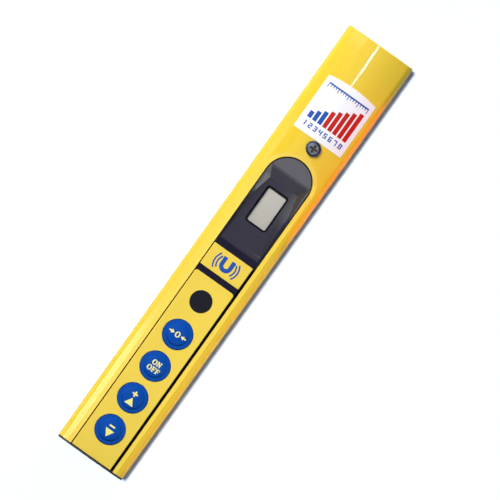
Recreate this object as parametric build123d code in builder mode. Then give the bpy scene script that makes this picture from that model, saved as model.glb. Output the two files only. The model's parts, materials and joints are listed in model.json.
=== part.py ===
from build123d import *
from math import atan2, degrees, sqrt
import os

# A hand-held magnetic locator. X runs along the tube, from the battery end at the
# rear to the sensing end at the front. Y runs across it and Z points up, out of the
# control panel. The tube lies on its flat underside and the origin is the middle of
# that underside. All dimensions are in millimetres.

# Tube
LENGTH = 274.0
WIDTH = 42.0
HEIGHT = 38.0
WALL = 2.2
CROWN_RADIUS = 48.0
TOP_CORNER_RADIUS = 5.0
BASE_CORNER_RADIUS = 8.0
NOSE_EDGE_RADIUS = 0.4

# Clearances
FIT = 0.15
RUNNING_GAP = 0.35

# Slot in the top of the tube, and the deck that fills it
SLOT_WIDTH = 27.7
SLOT_SIDE_OFFSET = -0.5
SLOT_BEVEL = 2.4
SLOT_BEVEL_DROP = 0.35
CHANNEL_WIDTH = 0.75
PANEL_RECESS = 0.55
FLANGE_LIP = 2.6
FLANGE_THICKNESS = 1.8
GUIDE_THICKNESS = 1.2
GUIDE_DEPTH = 1.6
LEDGE_OVERLAP = 1.2
TONGUE_MARGIN = 3.0

# Plates on the deck
PLATE_WIDTH = 25.4
PLATE_THICKNESS = 0.8
PLATE_CORNER_RADIUS = 1.6
PLATE_GAP = 3.6
PLATE_EDGE_RADIUS = 0.25
TRIM_LENGTH = 13.9

# Keys and sound opening
KEY_NAMES = ["gain_down_key", "gain_up_key", "power_key", "zero_key"]
KEY_DIAMETER = 16.6
KEY_PITCH = 21.1
FIRST_KEY = 19.3
KEY_TRAVEL = 1.0
KEY_FLANGE = 1.0
KEY_FLANGE_THICKNESS = 0.8
KEY_STEM_DIAMETER = 9.0
KEY_HEIGHT = 1.7
DOME_DIAMETER = 10.5
DOME_HEIGHT = 1.4
SPEAKER_OFFSET = 21.8
SPEAKER_TO_EDGE = 13.4
SOUND_OPENING = 12.7
SPEAKER_DIAMETER = 20.0
SPEAKER_DEPTH = 4.2

# Display
DISPLAY_STRAIGHT = 49.1
RECESS_SIDE_MARGIN = 1.6
RECESS_DEPTH = 5.0
SHALLOW_DEPTH = 0.7
RECESS_DRAFT = 0.12
END_WALL_RUN = 6.3
END_WALL_LIP = 1.2
CORNER_FACET = 2.6
CORNER_FACET_RUN = 11.0
RECESS_PAST_ARCH = 3.3
RAMP_MARGIN = 3.3
RAMP_RUN = 6.0
WINDOW_LENGTH = 22.0
WINDOW_WIDTH = 12.4
WINDOW_CORNER_RADIUS = 1.2
WINDOW_FROM_ARCH = 18.4
WINDOW_SINK = 0.8
WINDOW_EDGE_RADIUS = 0.35
DISPLAY_FLOOR = 1.6
GLASS_THICKNESS = 2.0
GLASS_BORDER = 1.6
DISPLAY_BOARD_THICKNESS = 1.2
DISPLAY_BOARD_BORDER = 2.0
RIBBON_WIDTH = 12.0
RIBBON_THICKNESS = 0.3

# Boards
BOARD_THICKNESS = 1.6
KEYPAD_BOARD_THICKNESS = 1.4
BOARD_GAP = 1.0
CHIP_SIZE = 12.0
CHIP_HEIGHT = 1.8
HEADER_LENGTH = 20.6
HEADER_WIDTH = 5.2

# Deck screw and label on the plain end of the crown
SCREW_FROM_ARCH = 22.8
SCREW_SIDE_OFFSET = -1.75
SCREW_HEAD_DIAMETER = 8.4
SCREW_HEAD_HEIGHT = 2.6
SCREW_DIAMETER = 4.0
SPOT_FACE_MARGIN = 0.5
INSERT_WALL = 1.0
BOSS_WALL = 1.6
LABEL_GAP = 0.3
LABEL_LENGTH = 33.4
LABEL_BOW = 1.5
LABEL_LEFT = 14.6
LABEL_RIGHT = -16.4
LABEL_THICKNESS = 0.12

# Battery end
END_PLATE = 0.8
END_PLATE_EDGE_RADIUS = 0.25
GASKET = 0.4
CELL_DIAMETER = 14.5
CELL_LENGTH = 50.5
CELL_PITCH = 15.2
CELL_NUB_DIAMETER = 5.4
CELL_NUB_HEIGHT = 1.5
CELL_EDGE_RADIUS = 0.6
CELL_PLAY = 0.05
TRAY_FLOOR = 1.3
TRAY_BULKHEAD = 8.0
TRAY_END_WALL = 2.5
CONTACT_SPACE = 3.0
CONTACT_THICKNESS = 0.5
CONTACT_WIDTH = 8.0
LEAF_WIDTH = 4.6
TAIL_WIDTH = 6.0
TAIL_HEIGHT = 3.0
BLOCK_THICKNESS = 2.0
CAP_SCREW_DIAMETER = 4.0
CAP_SCREW_HEAD = 8.0
CAP_SCREW_HEAD_HEIGHT = 2.4
CAP_SCREW_LENGTH = 12.0
CUP_FLOOR = 1.4
CUP_WALL = 1.2
CAP_BOSS_LENGTH = 8.0
CLIP_THICKNESS = 0.8

# Sensing end
SENSOR_DIAMETER = 15.0
SENSOR_LENGTH = 26.0
SENSOR_GAP = 1.5
SPOOL_FLANGE = 2.0
SPIGOT = 8.0
CORE_DIAMETER = 4.0
CORE_STANDOFF = 1.0
BAR_DIAMETER = 14.0
BAR_BORE = 10.0
CRADLE_LENGTH = 10.0
PLUG_LENGTH = 12.0
PLUG_RECESS = 0.5
SEAL_DEPTH = 1.6
SEAL_WIDTH = 2.0
PLUG_SCREW_DIAMETER = 3.0
PLUG_SCREW_LENGTH = 9.0

# Heights
slot_reach = SLOT_WIDTH / 2 + abs(SLOT_SIDE_OFFSET)
slot_edge = HEIGHT - CROWN_RADIUS + sqrt(CROWN_RADIUS**2 - slot_reach**2)
panel_top = slot_edge - PANEL_RECESS
deck_top = panel_top - PLATE_THICKNESS
inner_half = WIDTH / 2 - WALL
flange_half = SLOT_WIDTH / 2 + FLANGE_LIP
cell_z = WALL + FIT + TRAY_FLOOR + FIT + CELL_DIAMETER / 2
tray_top = cell_z + CELL_DIAMETER / 2
lower_guide_z = tray_top + RUNNING_GAP
board_z = lower_guide_z + GUIDE_THICKNESS + FIT
board_top = board_z + BOARD_THICKNESS
upper_guide_z = board_top + FIT
sensor_z = (WALL + lower_guide_z) / 2

# Stations along the tube
rear = -LENGTH / 2
front = LENGTH / 2
tube_start = rear + END_PLATE + GASKET
deck_start = tube_start + FIT
key_stations = [rear + FIRST_KEY + place * KEY_PITCH for place in range(len(KEY_NAMES))]
speaker_x = key_stations[-1] + SPEAKER_OFFSET
keypad_end = speaker_x + SPEAKER_TO_EDGE
trim_start = keypad_end + PLATE_GAP
trim_end = trim_start + TRIM_LENGTH
display_start = trim_end + FIT
arch_x = display_start + DISPLAY_STRAIGHT
screw_x = arch_x + SCREW_FROM_ARCH
label_start = screw_x + SCREW_HEAD_DIAMETER / 2 + LABEL_GAP
plug_start = front - PLUG_RECESS - PLUG_LENGTH
bay_start = tube_start + TRAY_BULKHEAD
bay_length = 2 * CELL_LENGTH + 2 * CONTACT_SPACE
tray_end = bay_start + bay_length + TRAY_END_WALL


def crown_height(y, inset=0.0):
    """Height of the domed top at a distance y from the middle."""
    return HEIGHT - CROWN_RADIUS + sqrt((CROWN_RADIUS - inset) ** 2 - y**2)


def roof_height(y):
    """Height of the inside of the tube above y, under the crown or a rounded corner."""
    corner_y = WIDTH / 2 - TOP_CORNER_RADIUS
    reach = CROWN_RADIUS - TOP_CORNER_RADIUS
    corner_z = HEIGHT - CROWN_RADIUS + sqrt(reach**2 - corner_y**2)
    tangent_y = corner_y * (CROWN_RADIUS - WALL) / reach
    if y <= tangent_y:
        return crown_height(y, WALL)
    return corner_z + sqrt((TOP_CORNER_RADIUS - WALL) ** 2 - (y - corner_y) ** 2)


def body_outline(inset):
    """Cross-section of the tube, set in from its outer surface."""
    half = WIDTH / 2 - inset
    shoulder = crown_height(half, inset)
    with BuildSketch() as outline:
        with BuildLine():
            Polyline((half, shoulder), (half, inset), (-half, inset), (-half, shoulder))
            ThreePointArc((-half, shoulder), (0, HEIGHT - inset), (half, shoulder))
        make_face()
        fillet(outline.vertices().group_by(Axis.Y)[0], BASE_CORNER_RADIUS - inset)
        fillet(outline.vertices().group_by(Axis.Y)[-1], TOP_CORNER_RADIUS - inset)
    return outline.sketch


def band(low, high):
    """Wide strip between two heights, for keeping part of a cross-section."""
    with BuildSketch() as strip:
        with Locations((0, (low + high) / 2)):
            Rectangle(2 * WIDTH, high - low)
    return strip.sketch


def slot_outline(start, inset):
    """Plan of the slot from a station to its round end, set in from its edge."""
    half = SLOT_WIDTH / 2 - inset
    with BuildSketch() as outline:
        with Locations((start, SLOT_SIDE_OFFSET)):
            Rectangle(arch_x - start, 2 * half, align=(Align.MIN, Align.CENTER))
        with Locations((arch_x, SLOT_SIDE_OFFSET)):
            Circle(half)
    return outline.sketch


def strip_plan(start, end, width):
    """Plan of a rectangle between two stations."""
    with BuildSketch() as outline:
        with Locations((start, 0)):
            Rectangle(end - start, width, align=(Align.MIN, Align.CENTER))
    return outline.sketch


def bowed_leaf(foot_x, tip_x, row):
    """Cross-section of a leaf that bows from its foot to the end of a cell row."""
    half = CONTACT_WIDTH / 2
    with BuildSketch(Plane.XZ.offset(-row * CELL_PITCH / 2 - LEAF_WIDTH / 2)) as leaf:
        with BuildLine():
            ThreePointArc((foot_x, cell_z - half), (tip_x, cell_z), (foot_x, cell_z + half))
        trace(line_width=CONTACT_THICKNESS)
    return leaf.sketch


flange_top = roof_height(flange_half) - FIT
flange_bottom = flange_top - FLANGE_THICKNESS
ledge_z = flange_bottom - FIT - GUIDE_THICKNESS

# Housing tube: an extrusion with a pair of ledges for the deck and two pairs of
# guides for the main board. The front is left plain inside for the plug.
with BuildPart() as housing_tube:
    with BuildSketch(Plane.YZ.offset(tube_start)):
        add(body_outline(0))
        add(body_outline(WALL), mode=Mode.SUBTRACT)
    extrude(amount=front - tube_start)
    nose_face = housing_tube.faces().sort_by(Axis.X)[-1]
    fillet(nose_face.outer_wire().edges(), NOSE_EDGE_RADIUS)
    guide_y = inner_half - GUIDE_DEPTH
    ledge_y = flange_half - LEDGE_OVERLAP
    with BuildSketch(Plane.YZ.offset(tube_start)):
        for low in (lower_guide_z, upper_guide_z):
            with Locations((guide_y, low), (-guide_y - GUIDE_DEPTH - WALL, low)):
                Rectangle(GUIDE_DEPTH + WALL, GUIDE_THICKNESS, align=(Align.MIN, Align.MIN))
        ledge_depth = WIDTH / 2 - ledge_y
        with Locations((ledge_y, ledge_z), (-ledge_y - ledge_depth, ledge_z)):
            Rectangle(ledge_depth, GUIDE_THICKNESS, align=(Align.MIN, Align.MIN))
        add(body_outline(WALL / 2), mode=Mode.INTERSECT)
    extrude(amount=plug_start - WALL - tube_start)
    with BuildSketch(Plane.XY.offset(HEIGHT)):
        add(slot_outline(tube_start - 1, 0))
    extrude(amount=-(HEIGHT - flange_bottom), mode=Mode.SUBTRACT)
    crown_face = housing_tube.faces().filter_by(GeomType.CYLINDER).sort_by(Axis.Z)[-1]
    rim_half = slot_reach + 0.1
    rim = crown_face.edges().filter_by_position(Axis.Y, -rim_half, rim_half)
    rim = rim.filter_by_position(Axis.X, tube_start + 0.1, arch_x + SLOT_WIDTH)
    chamfer(rim, SLOT_BEVEL, SLOT_BEVEL_DROP, reference=crown_face)
    spot_radius = SCREW_HEAD_DIAMETER / 2 + SPOT_FACE_MARGIN
    seat_z = crown_height(abs(SCREW_SIDE_OFFSET) + spot_radius) - FIT
    with BuildSketch(Plane.XY.offset(seat_z)):
        with Locations((screw_x, SCREW_SIDE_OFFSET)):
            Circle(spot_radius)
    extrude(amount=HEIGHT - seat_z, mode=Mode.SUBTRACT)
    with Locations((screw_x, SCREW_SIDE_OFFSET, seat_z)):
        Hole(SCREW_DIAMETER / 2 + FIT, depth=2 * WALL)
    plug_screw_x = plug_start + PLUG_LENGTH * 0.62
    plug_screw_y = WIDTH * 0.19
    for side in (-1, 1):
        with Locations(Location((plug_screw_x, side * plug_screw_y, 0), (180, 0, 0))):
            CounterSinkHole(
                PLUG_SCREW_DIAMETER / 2 + FIT,
                PLUG_SCREW_DIAMETER * 0.9 + 2 * FIT,
                depth=2 * WALL,
                counter_sink_angle=90,
            )

# Tilted plane of the display, in the floor of the recess
deep_x = arch_x + RECESS_PAST_ARCH - END_WALL_RUN
shallow_x = display_start + RAMP_MARGIN + RAMP_RUN
floor_slope = (RECESS_DEPTH - SHALLOW_DEPTH) / (deep_x - shallow_x)
floor_tilt = degrees(atan2(floor_slope, 1))
window_x = arch_x - WINDOW_FROM_ARCH
window_floor_z = panel_top - RECESS_DEPTH + (deep_x - window_x) * floor_slope
display_plane = Plane((window_x, 0, window_floor_z)).rotated((0, floor_tilt, 0))
glass_length = WINDOW_LENGTH + 2 * GLASS_BORDER
glass_width = WINDOW_WIDTH + 2 * GLASS_BORDER
display_board_length = glass_length + 2 * DISPLAY_BOARD_BORDER
display_board_width = glass_width + 2 * DISPLAY_BOARD_BORDER
sink_z = panel_top - RECESS_DEPTH
tub_bottom = sink_z - DISPLAY_FLOOR - FIT
recess_half = SLOT_WIDTH / 2 - RECESS_SIDE_MARGIN
sink_half = recess_half - RECESS_DRAFT * RECESS_DEPTH

# Space of the display recess: a sloping floor between a rounded ramp and a steep end wall
# with a rounded lip, with drafted sides and a facet across each deep corner
ramp_x = display_start + RAMP_MARGIN
ramp_middle = (ramp_x + shallow_x) / 2
end_wall_slope = RECESS_DEPTH / END_WALL_RUN
lip_x = deep_x + END_WALL_RUN - END_WALL_LIP / 2
lip_z = panel_top - END_WALL_LIP / 2 * end_wall_slope
with BuildPart() as display_recess:
    with BuildSketch(Plane.XZ):
        with BuildLine():
            ThreePointArc(
                (ramp_x, panel_top),
                (ramp_middle, panel_top - 0.3 * SHALLOW_DEPTH),
                (shallow_x, panel_top - SHALLOW_DEPTH),
            )
            Polyline((shallow_x, panel_top - SHALLOW_DEPTH), (deep_x, sink_z), (lip_x, lip_z))
            ThreePointArc(
                (lip_x, lip_z),
                (lip_x + END_WALL_LIP / 2, (lip_z + 2 * panel_top) / 3),
                (lip_x + END_WALL_LIP, panel_top),
            )
            Line((lip_x + END_WALL_LIP, panel_top), (ramp_x, panel_top))
        make_face()
    extrude(amount=SLOT_WIDTH, both=True)
    with BuildSketch(Plane.YZ.offset(display_start)):
        with BuildLine():
            Polyline(
                (recess_half, panel_top),
                (sink_half, sink_z),
                (-sink_half, sink_z),
                (-recess_half, panel_top),
                close=True,
            )
        make_face()
    extrude(amount=DISPLAY_STRAIGHT + SLOT_WIDTH, mode=Mode.INTERSECT)
    for side in (-1, 1):
        foot = Vector(deep_x, side * (sink_half - CORNER_FACET), sink_z)
        heel_z = sink_z + CORNER_FACET_RUN * floor_slope
        heel = Vector(deep_x - CORNER_FACET_RUN, side * sink_half, heel_z)
        peak = Vector(deep_x + END_WALL_RUN, side * recess_half, panel_top)
        facet_normal = (heel - foot).cross(peak - foot) * side
        split(bisect_by=Plane(foot, z_dir=facet_normal), keep=Keep.BOTTOM)

# Control deck: a flanged slab under the plates and a deep display surround in the round
# end of the slot, with a tongue beyond it for the deck screw. A narrow channel parts the
# slab and the surround from the edge of the slot.
pocket_radius = KEY_DIAMETER / 2 + KEY_FLANGE + RUNNING_GAP
pocket_floor = deck_top - KEY_FLANGE_THICKNESS - KEY_TRAVEL - RUNNING_GAP
tongue_end = screw_x + SCREW_HEAD_DIAMETER / 2 + TONGUE_MARGIN
insert_radius = SCREW_DIAMETER / 2 + INSERT_WALL
boss_radius = insert_radius + BOSS_WALL
boss_bottom = flange_bottom - BOSS_WALL / 2
boss_top = roof_height(abs(SCREW_SIDE_OFFSET) + boss_radius) - FIT
cap_screw_z = (board_z + flange_bottom) / 2
cap_insert_radius = CAP_SCREW_DIAMETER / 2 + INSERT_WALL
head_space = CAP_SCREW_HEAD_HEIGHT + 2 * RUNNING_GAP
cup_end = rear + END_PLATE + head_space + CUP_FLOOR
cup_radius = CAP_SCREW_HEAD / 2 + RUNNING_GAP + CUP_WALL
clip_start = cup_end + RUNNING_GAP
cap_boss_start = clip_start + CLIP_THICKNESS + RUNNING_GAP
with BuildPart() as control_deck:
    with BuildSketch(Plane.XY.offset(flange_bottom)):
        add(strip_plan(deck_start, arch_x, 2 * flange_half))
        add(strip_plan(arch_x - 1, tongue_end, SLOT_WIDTH))
    extrude(amount=FLANGE_THICKNESS)
    with BuildSketch(Plane.XY.offset(flange_bottom)):
        add(strip_plan(deck_start, display_start, PLATE_WIDTH))
    extrude(amount=deck_top - flange_bottom)
    with BuildSketch(Plane.XY.offset(tub_bottom)):
        add(strip_plan(display_start, arch_x + RECESS_PAST_ARCH, SLOT_WIDTH - 2 * FIT))
    extrude(amount=flange_bottom - tub_bottom)
    with BuildSketch(Plane.XY.offset(flange_bottom)):
        add(slot_outline(display_start, CHANNEL_WIDTH))
    extrude(amount=panel_top - flange_bottom)
    with BuildSketch(Plane.XY.offset(boss_bottom)):
        with Locations((screw_x, SCREW_SIDE_OFFSET)):
            Circle(boss_radius)
    extrude(amount=boss_top - boss_bottom)
    with BuildSketch(Plane.YZ.offset(cap_boss_start)):
        with Locations((0, cap_screw_z)):
            Circle(cap_insert_radius + BOSS_WALL)
        with Locations((0, flange_bottom)):
            Rectangle(
                2 * (cap_insert_radius + BOSS_WALL),
                flange_bottom - cap_screw_z,
                align=(Align.CENTER, Align.MAX),
            )
    extrude(amount=CAP_BOSS_LENGTH)

    # Relief round the cup of the captive screw
    with BuildSketch(Plane.YZ.offset(deck_start)):
        with Locations((0, cap_screw_z)):
            Circle(cup_radius + RUNNING_GAP)
    extrude(amount=cup_end + RUNNING_GAP - deck_start, mode=Mode.SUBTRACT)

    # The recess, the window in its floor, and the seats of the display from below
    add(Pos(Y=SLOT_SIDE_OFFSET) * display_recess.part, mode=Mode.SUBTRACT)
    with BuildSketch(display_plane):
        RectangleRounded(WINDOW_LENGTH, WINDOW_WIDTH, WINDOW_CORNER_RADIUS)
    extrude(amount=2 * RECESS_DEPTH, both=True, mode=Mode.SUBTRACT)
    recess_floor = control_deck.faces().filter_by(display_plane).sort_by_distance(display_plane.origin)
    fillet(recess_floor[0].inner_wires()[0].edges(), WINDOW_EDGE_RADIUS)
    with BuildSketch(display_plane.offset(-DISPLAY_FLOOR)):
        Rectangle(glass_length + 2 * FIT, glass_width + 2 * FIT)
    extrude(amount=-2 * RECESS_DEPTH, mode=Mode.SUBTRACT)
    with BuildSketch(display_plane.offset(-DISPLAY_FLOOR - GLASS_THICKNESS)):
        Rectangle(display_board_length + 2 * FIT, display_board_width + 2 * FIT)
    extrude(amount=-2 * RECESS_DEPTH, mode=Mode.SUBTRACT)

    # Pockets for the key flanges and openings for the domes and the sound
    with BuildSketch(Plane.XY.offset(pocket_floor)):
        with Locations([(station, 0) for station in key_stations]):
            Circle(pocket_radius)
    extrude(amount=deck_top - pocket_floor, mode=Mode.SUBTRACT)
    with BuildSketch(Plane.XY.offset(flange_bottom)):
        with Locations([(station, 0) for station in key_stations]):
            Circle(DOME_DIAMETER / 2 + RUNNING_GAP)
        with Locations((speaker_x, 0)):
            Circle(SOUND_OPENING * 0.065)
            with PolarLocations(SOUND_OPENING * 0.3, 8):
                Circle(SOUND_OPENING * 0.065)
    extrude(amount=deck_top - flange_bottom, mode=Mode.SUBTRACT)
    with BuildSketch(Plane.XY.offset(boss_bottom)):
        with Locations((screw_x, SCREW_SIDE_OFFSET)):
            Circle(insert_radius)
    extrude(amount=HEIGHT, mode=Mode.SUBTRACT)
    with BuildSketch(Plane.YZ.offset(cap_boss_start)):
        with Locations((0, cap_screw_z)):
            Circle(cap_insert_radius)
    extrude(amount=CAP_BOSS_LENGTH, mode=Mode.SUBTRACT)

# Plates
with BuildPart() as keypad_plate:
    with BuildSketch(Plane.XY.offset(deck_top)) as keypad_plan:
        add(strip_plan(deck_start, keypad_end, PLATE_WIDTH))
        fillet(keypad_plan.vertices().group_by(Axis.X)[-1], PLATE_CORNER_RADIUS)
        with Locations([(station, 0) for station in key_stations]):
            Circle(KEY_DIAMETER / 2 + RUNNING_GAP, mode=Mode.SUBTRACT)
        with Locations((speaker_x, 0)):
            Circle(SOUND_OPENING / 2, mode=Mode.SUBTRACT)
    extrude(amount=PLATE_THICKNESS)
    top_edges = keypad_plate.faces().sort_by(Axis.Z)[-1].outer_wire().edges()
    fillet(top_edges.filter_by(lambda edge: edge.center().X > deck_start + 1), PLATE_EDGE_RADIUS)

with BuildPart() as trim_plate:
    with BuildSketch(Plane.XY.offset(deck_top)) as trim_plan:
        add(strip_plan(trim_start, trim_end, PLATE_WIDTH))
        fillet(trim_plan.vertices(), 2 * PLATE_EDGE_RADIUS)
    extrude(amount=PLATE_THICKNESS)
    fillet(trim_plate.faces().sort_by(Axis.Z)[-1].edges(), PLATE_EDGE_RADIUS)

# Mesh disc in the sound opening, and the speaker under the deck
with BuildPart() as sound_mesh:
    with BuildSketch(Plane.XY.offset(deck_top)):
        with Locations((speaker_x, 0)):
            Circle(SOUND_OPENING / 2 - FIT)
    extrude(amount=PLATE_THICKNESS * 0.75)

with BuildPart() as speaker:
    with BuildSketch(Plane.XY.offset(flange_bottom)):
        with Locations((speaker_x, 0)):
            Circle(SPEAKER_DIAMETER / 2)
    extrude(amount=-SPEAKER_DEPTH * 0.45)
    with BuildSketch(Plane.XY.offset(flange_bottom - SPEAKER_DEPTH)):
        with Locations((speaker_x, 0)):
            Circle(SPEAKER_DIAMETER * 0.3)
    extrude(amount=SPEAKER_DEPTH * 0.6)
    with BuildSketch(Plane.XY.offset(flange_bottom)):
        with Locations((speaker_x, 0)):
            Circle(SPEAKER_DIAMETER * 0.38)
    extrude(amount=-0.8, taper=30, mode=Mode.SUBTRACT)

# Keys: a raised button inside a low rim, with a flange that stops under the plate
# and a stem that stands on the dome
keypad_board_top = flange_bottom
dome_top = keypad_board_top + DOME_HEIGHT
stem_bottom = dome_top + 0.03
key_radius = KEY_DIAMETER / 2
flange_radius = key_radius + KEY_FLANGE
key_flange_top = deck_top - 0.03
key_flange_bottom = key_flange_top - KEY_FLANGE_THICKNESS
key_crown = panel_top + KEY_HEIGHT
key_rim = panel_top + 0.25 * KEY_HEIGHT
keys = []
for name, station in zip(KEY_NAMES, key_stations):
    with BuildPart() as key:
        with BuildSketch(Plane.XZ) as key_half:
            with BuildLine():
                Polyline(
                    (0, key_crown),
                    (0, stem_bottom),
                    (KEY_STEM_DIAMETER / 2, stem_bottom),
                    (KEY_STEM_DIAMETER / 2, key_flange_bottom),
                    (flange_radius, key_flange_bottom),
                    (flange_radius, key_flange_top),
                    (key_radius, key_flange_top),
                    (key_radius, key_rim),
                    (key_radius * 0.77, key_rim + 0.1 * KEY_HEIGHT),
                    (key_radius * 0.69, key_rim + 0.5 * KEY_HEIGHT),
                )
                RadiusArc(
                    (key_radius * 0.69, key_rim + 0.5 * KEY_HEIGHT),
                    (0, key_crown),
                    -key_radius * 2.6,
                )
            make_face()
        revolve(axis=Axis.Z)
        rounded = key.edges().filter_by(GeomType.CIRCLE)
        fillet(rounded.filter_by(lambda edge: abs(edge.radius - key_radius * 0.69) < 0.01), 0.5)
        rim_edges = rounded.filter_by(lambda edge: abs(edge.radius - key_radius) < 0.01)
        fillet(rim_edges.sort_by(Axis.Z)[-1], 0.25)
    key.part.position = (station, 0, 0)
    keys.append((name, key.part))

# Snap domes under the keys
domes = []
for name, station in zip(KEY_NAMES, key_stations):
    with BuildPart() as dome:
        with BuildSketch(Plane.XZ):
            with BuildLine():
                Polyline(
                    (0, dome_top),
                    (KEY_STEM_DIAMETER * 0.3, dome_top),
                    (DOME_DIAMETER / 2 - 0.8, keypad_board_top + 0.4),
                    (DOME_DIAMETER / 2, keypad_board_top + 0.4),
                    (DOME_DIAMETER / 2, keypad_board_top),
                    (DOME_DIAMETER / 2 - 1.2, keypad_board_top),
                    (KEY_STEM_DIAMETER * 0.3 - 0.2, dome_top - 0.4),
                    (0, dome_top - 0.4),
                    close=True,
                )
            make_face()
        revolve(axis=Axis.Z)
    dome.part.position = (station, 0, 0)
    domes.append((name.replace("key", "dome"), dome.part))

# Boards
keypad_board_start = cap_boss_start + CAP_BOSS_LENGTH + BOARD_GAP
keypad_board_end = speaker_x - SPEAKER_DIAMETER / 2 - BOARD_GAP
with BuildPart() as keypad_board:
    with BuildSketch(Plane.XY.offset(keypad_board_top)):
        add(strip_plan(keypad_board_start, keypad_board_end, 2 * (ledge_y - FIT)))
    extrude(amount=-KEYPAD_BOARD_THICKNESS)

# The main board ends short of the display, which hangs lower than the keypad
main_board_end = display_start - BOARD_GAP
with BuildPart() as main_board:
    with BuildSketch(Plane.XY.offset(board_z)):
        add(strip_plan(keypad_board_start, main_board_end, 2 * (inner_half - FIT)))
    extrude(amount=BOARD_THICKNESS)

header_x = (keypad_board_start + keypad_board_end) / 2
with BuildPart() as board_chips:
    with BuildSketch(Plane.XY.offset(board_top)):
        with Locations((header_x - 1.8 * CHIP_SIZE, 0), (header_x + 1.8 * CHIP_SIZE, 0)):
            with Locations((0, 0.55 * CHIP_SIZE)):
                Rectangle(CHIP_SIZE, CHIP_SIZE)
            with Locations((0, -0.6 * CHIP_SIZE)):
                Rectangle(0.7 * CHIP_SIZE, 0.4 * CHIP_SIZE)
    extrude(amount=CHIP_HEIGHT)

with BuildPart() as board_header:
    with BuildSketch(Plane.XY.offset(board_top)):
        with Locations((header_x, 0)):
            Rectangle(HEADER_WIDTH, HEADER_LENGTH)
    extrude(amount=keypad_board_top - KEYPAD_BOARD_THICKNESS - board_top)

# Display: window in the floor of the recess, glass behind it, and its board
with BuildPart() as display_window:
    with BuildSketch(display_plane.offset(-DISPLAY_FLOOR)):
        RectangleRounded(
            WINDOW_LENGTH - 2 * FIT,
            WINDOW_WIDTH - 2 * FIT,
            WINDOW_CORNER_RADIUS - FIT,
        )
    extrude(amount=DISPLAY_FLOOR - WINDOW_SINK)

with BuildPart() as display_glass:
    with BuildSketch(display_plane.offset(-DISPLAY_FLOOR)):
        Rectangle(glass_length, glass_width)
    extrude(amount=-GLASS_THICKNESS)

with BuildPart() as display_board:
    with BuildSketch(display_plane.offset(-DISPLAY_FLOOR - GLASS_THICKNESS)):
        Rectangle(display_board_length, display_board_width)
    extrude(amount=-DISPLAY_BOARD_THICKNESS)

# Flat ribbon from under the display board, below the deck, to the end of the main board
board_depth = DISPLAY_FLOOR + GLASS_THICKNESS + DISPLAY_BOARD_THICKNESS + RIBBON_THICKNESS / 2
ribbon_end = display_plane.from_local_coords((RIBBON_WIDTH / 2 - display_board_length / 2, 0, -board_depth))
ribbon_bend = display_plane.from_local_coords((1 - display_board_length / 2, 0, -board_depth))
ribbon_low = tub_bottom - 2 * RIBBON_THICKNESS
ribbon_foot = board_top + RIBBON_THICKNESS / 2
with BuildPart() as display_ribbon:
    with BuildSketch(Plane.XZ.offset(-RIBBON_WIDTH / 2)):
        with BuildLine():
            FilletPolyline(
                (ribbon_end.X, ribbon_end.Z),
                (ribbon_bend.X, ribbon_bend.Z),
                (ribbon_bend.X - BOARD_GAP, ribbon_low),
                (main_board_end, ribbon_low),
                (main_board_end - BOARD_GAP, ribbon_foot),
                (main_board_end - RIBBON_WIDTH / 2, ribbon_foot),
                radius=RIBBON_THICKNESS,
            )
        trace(line_width=RIBBON_THICKNESS)
    extrude(amount=RIBBON_WIDTH)

# Deck screw: a pan head with a cross recess, in a brass insert in the boss
screw_head_top = seat_z + SCREW_HEAD_HEIGHT
with BuildPart() as deck_screw:
    with BuildSketch(Plane.XY.offset(seat_z)):
        Circle(SCREW_HEAD_DIAMETER / 2)
    extrude(amount=SCREW_HEAD_HEIGHT)
    fillet(deck_screw.edges().sort_by(Axis.Z)[-1], SCREW_HEAD_HEIGHT * 0.6)
    with BuildSketch(Plane.XY.offset(boss_bottom)):
        Circle(SCREW_DIAMETER / 2)
    extrude(amount=seat_z - boss_bottom)
    with BuildSketch(Plane.XY.offset(screw_head_top)):
        Rectangle(SCREW_HEAD_DIAMETER * 0.56, SCREW_HEAD_DIAMETER * 0.15)
        Rectangle(SCREW_HEAD_DIAMETER * 0.15, SCREW_HEAD_DIAMETER * 0.56)
    extrude(amount=-SCREW_HEAD_HEIGHT * 0.6, taper=8, mode=Mode.SUBTRACT)
deck_screw.part.position = (screw_x, SCREW_SIDE_OFFSET, 0)

with BuildPart() as deck_insert:
    with BuildSketch(Plane.XY.offset(boss_bottom)):
        with Locations((screw_x, SCREW_SIDE_OFFSET)):
            Circle(insert_radius)
            Circle(SCREW_DIAMETER / 2 + FIT / 3, mode=Mode.SUBTRACT)
    extrude(amount=boss_top - boss_bottom)

# Label, curved over the crown, with a bowed front edge
label_end = label_start + LABEL_LENGTH
label_middle = (LABEL_LEFT + LABEL_RIGHT) / 2
with BuildPart() as label:
    with BuildSketch(Plane.YZ.offset(label_start)):
        add(body_outline(-LABEL_THICKNESS))
        add(body_outline(0), mode=Mode.SUBTRACT)
        add(band(HEIGHT / 2, HEIGHT + 1), mode=Mode.INTERSECT)
    extrude(amount=LABEL_LENGTH + 2 * LABEL_BOW)
    with BuildSketch(Plane.XY):
        with BuildLine():
            Polyline(
                (label_end, LABEL_LEFT),
                (label_start, LABEL_LEFT),
                (label_start, LABEL_RIGHT),
                (label_end, LABEL_RIGHT),
            )
            ThreePointArc(
                (label_end, LABEL_RIGHT),
                (label_end + LABEL_BOW, label_middle),
                (label_end, LABEL_LEFT),
            )
        make_face()
    extrude(amount=HEIGHT + 1, mode=Mode.INTERSECT)

# Rear end plate and its gasket
with BuildPart() as end_plate:
    with BuildSketch(Plane.YZ.offset(rear)):
        add(body_outline(0))
        with Locations((0, cap_screw_z)):
            Circle(CAP_SCREW_HEAD / 2 + RUNNING_GAP, mode=Mode.SUBTRACT)
    extrude(amount=END_PLATE)
    fillet(end_plate.faces().sort_by(Axis.X)[0].outer_wire().edges(), END_PLATE_EDGE_RADIUS)

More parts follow.
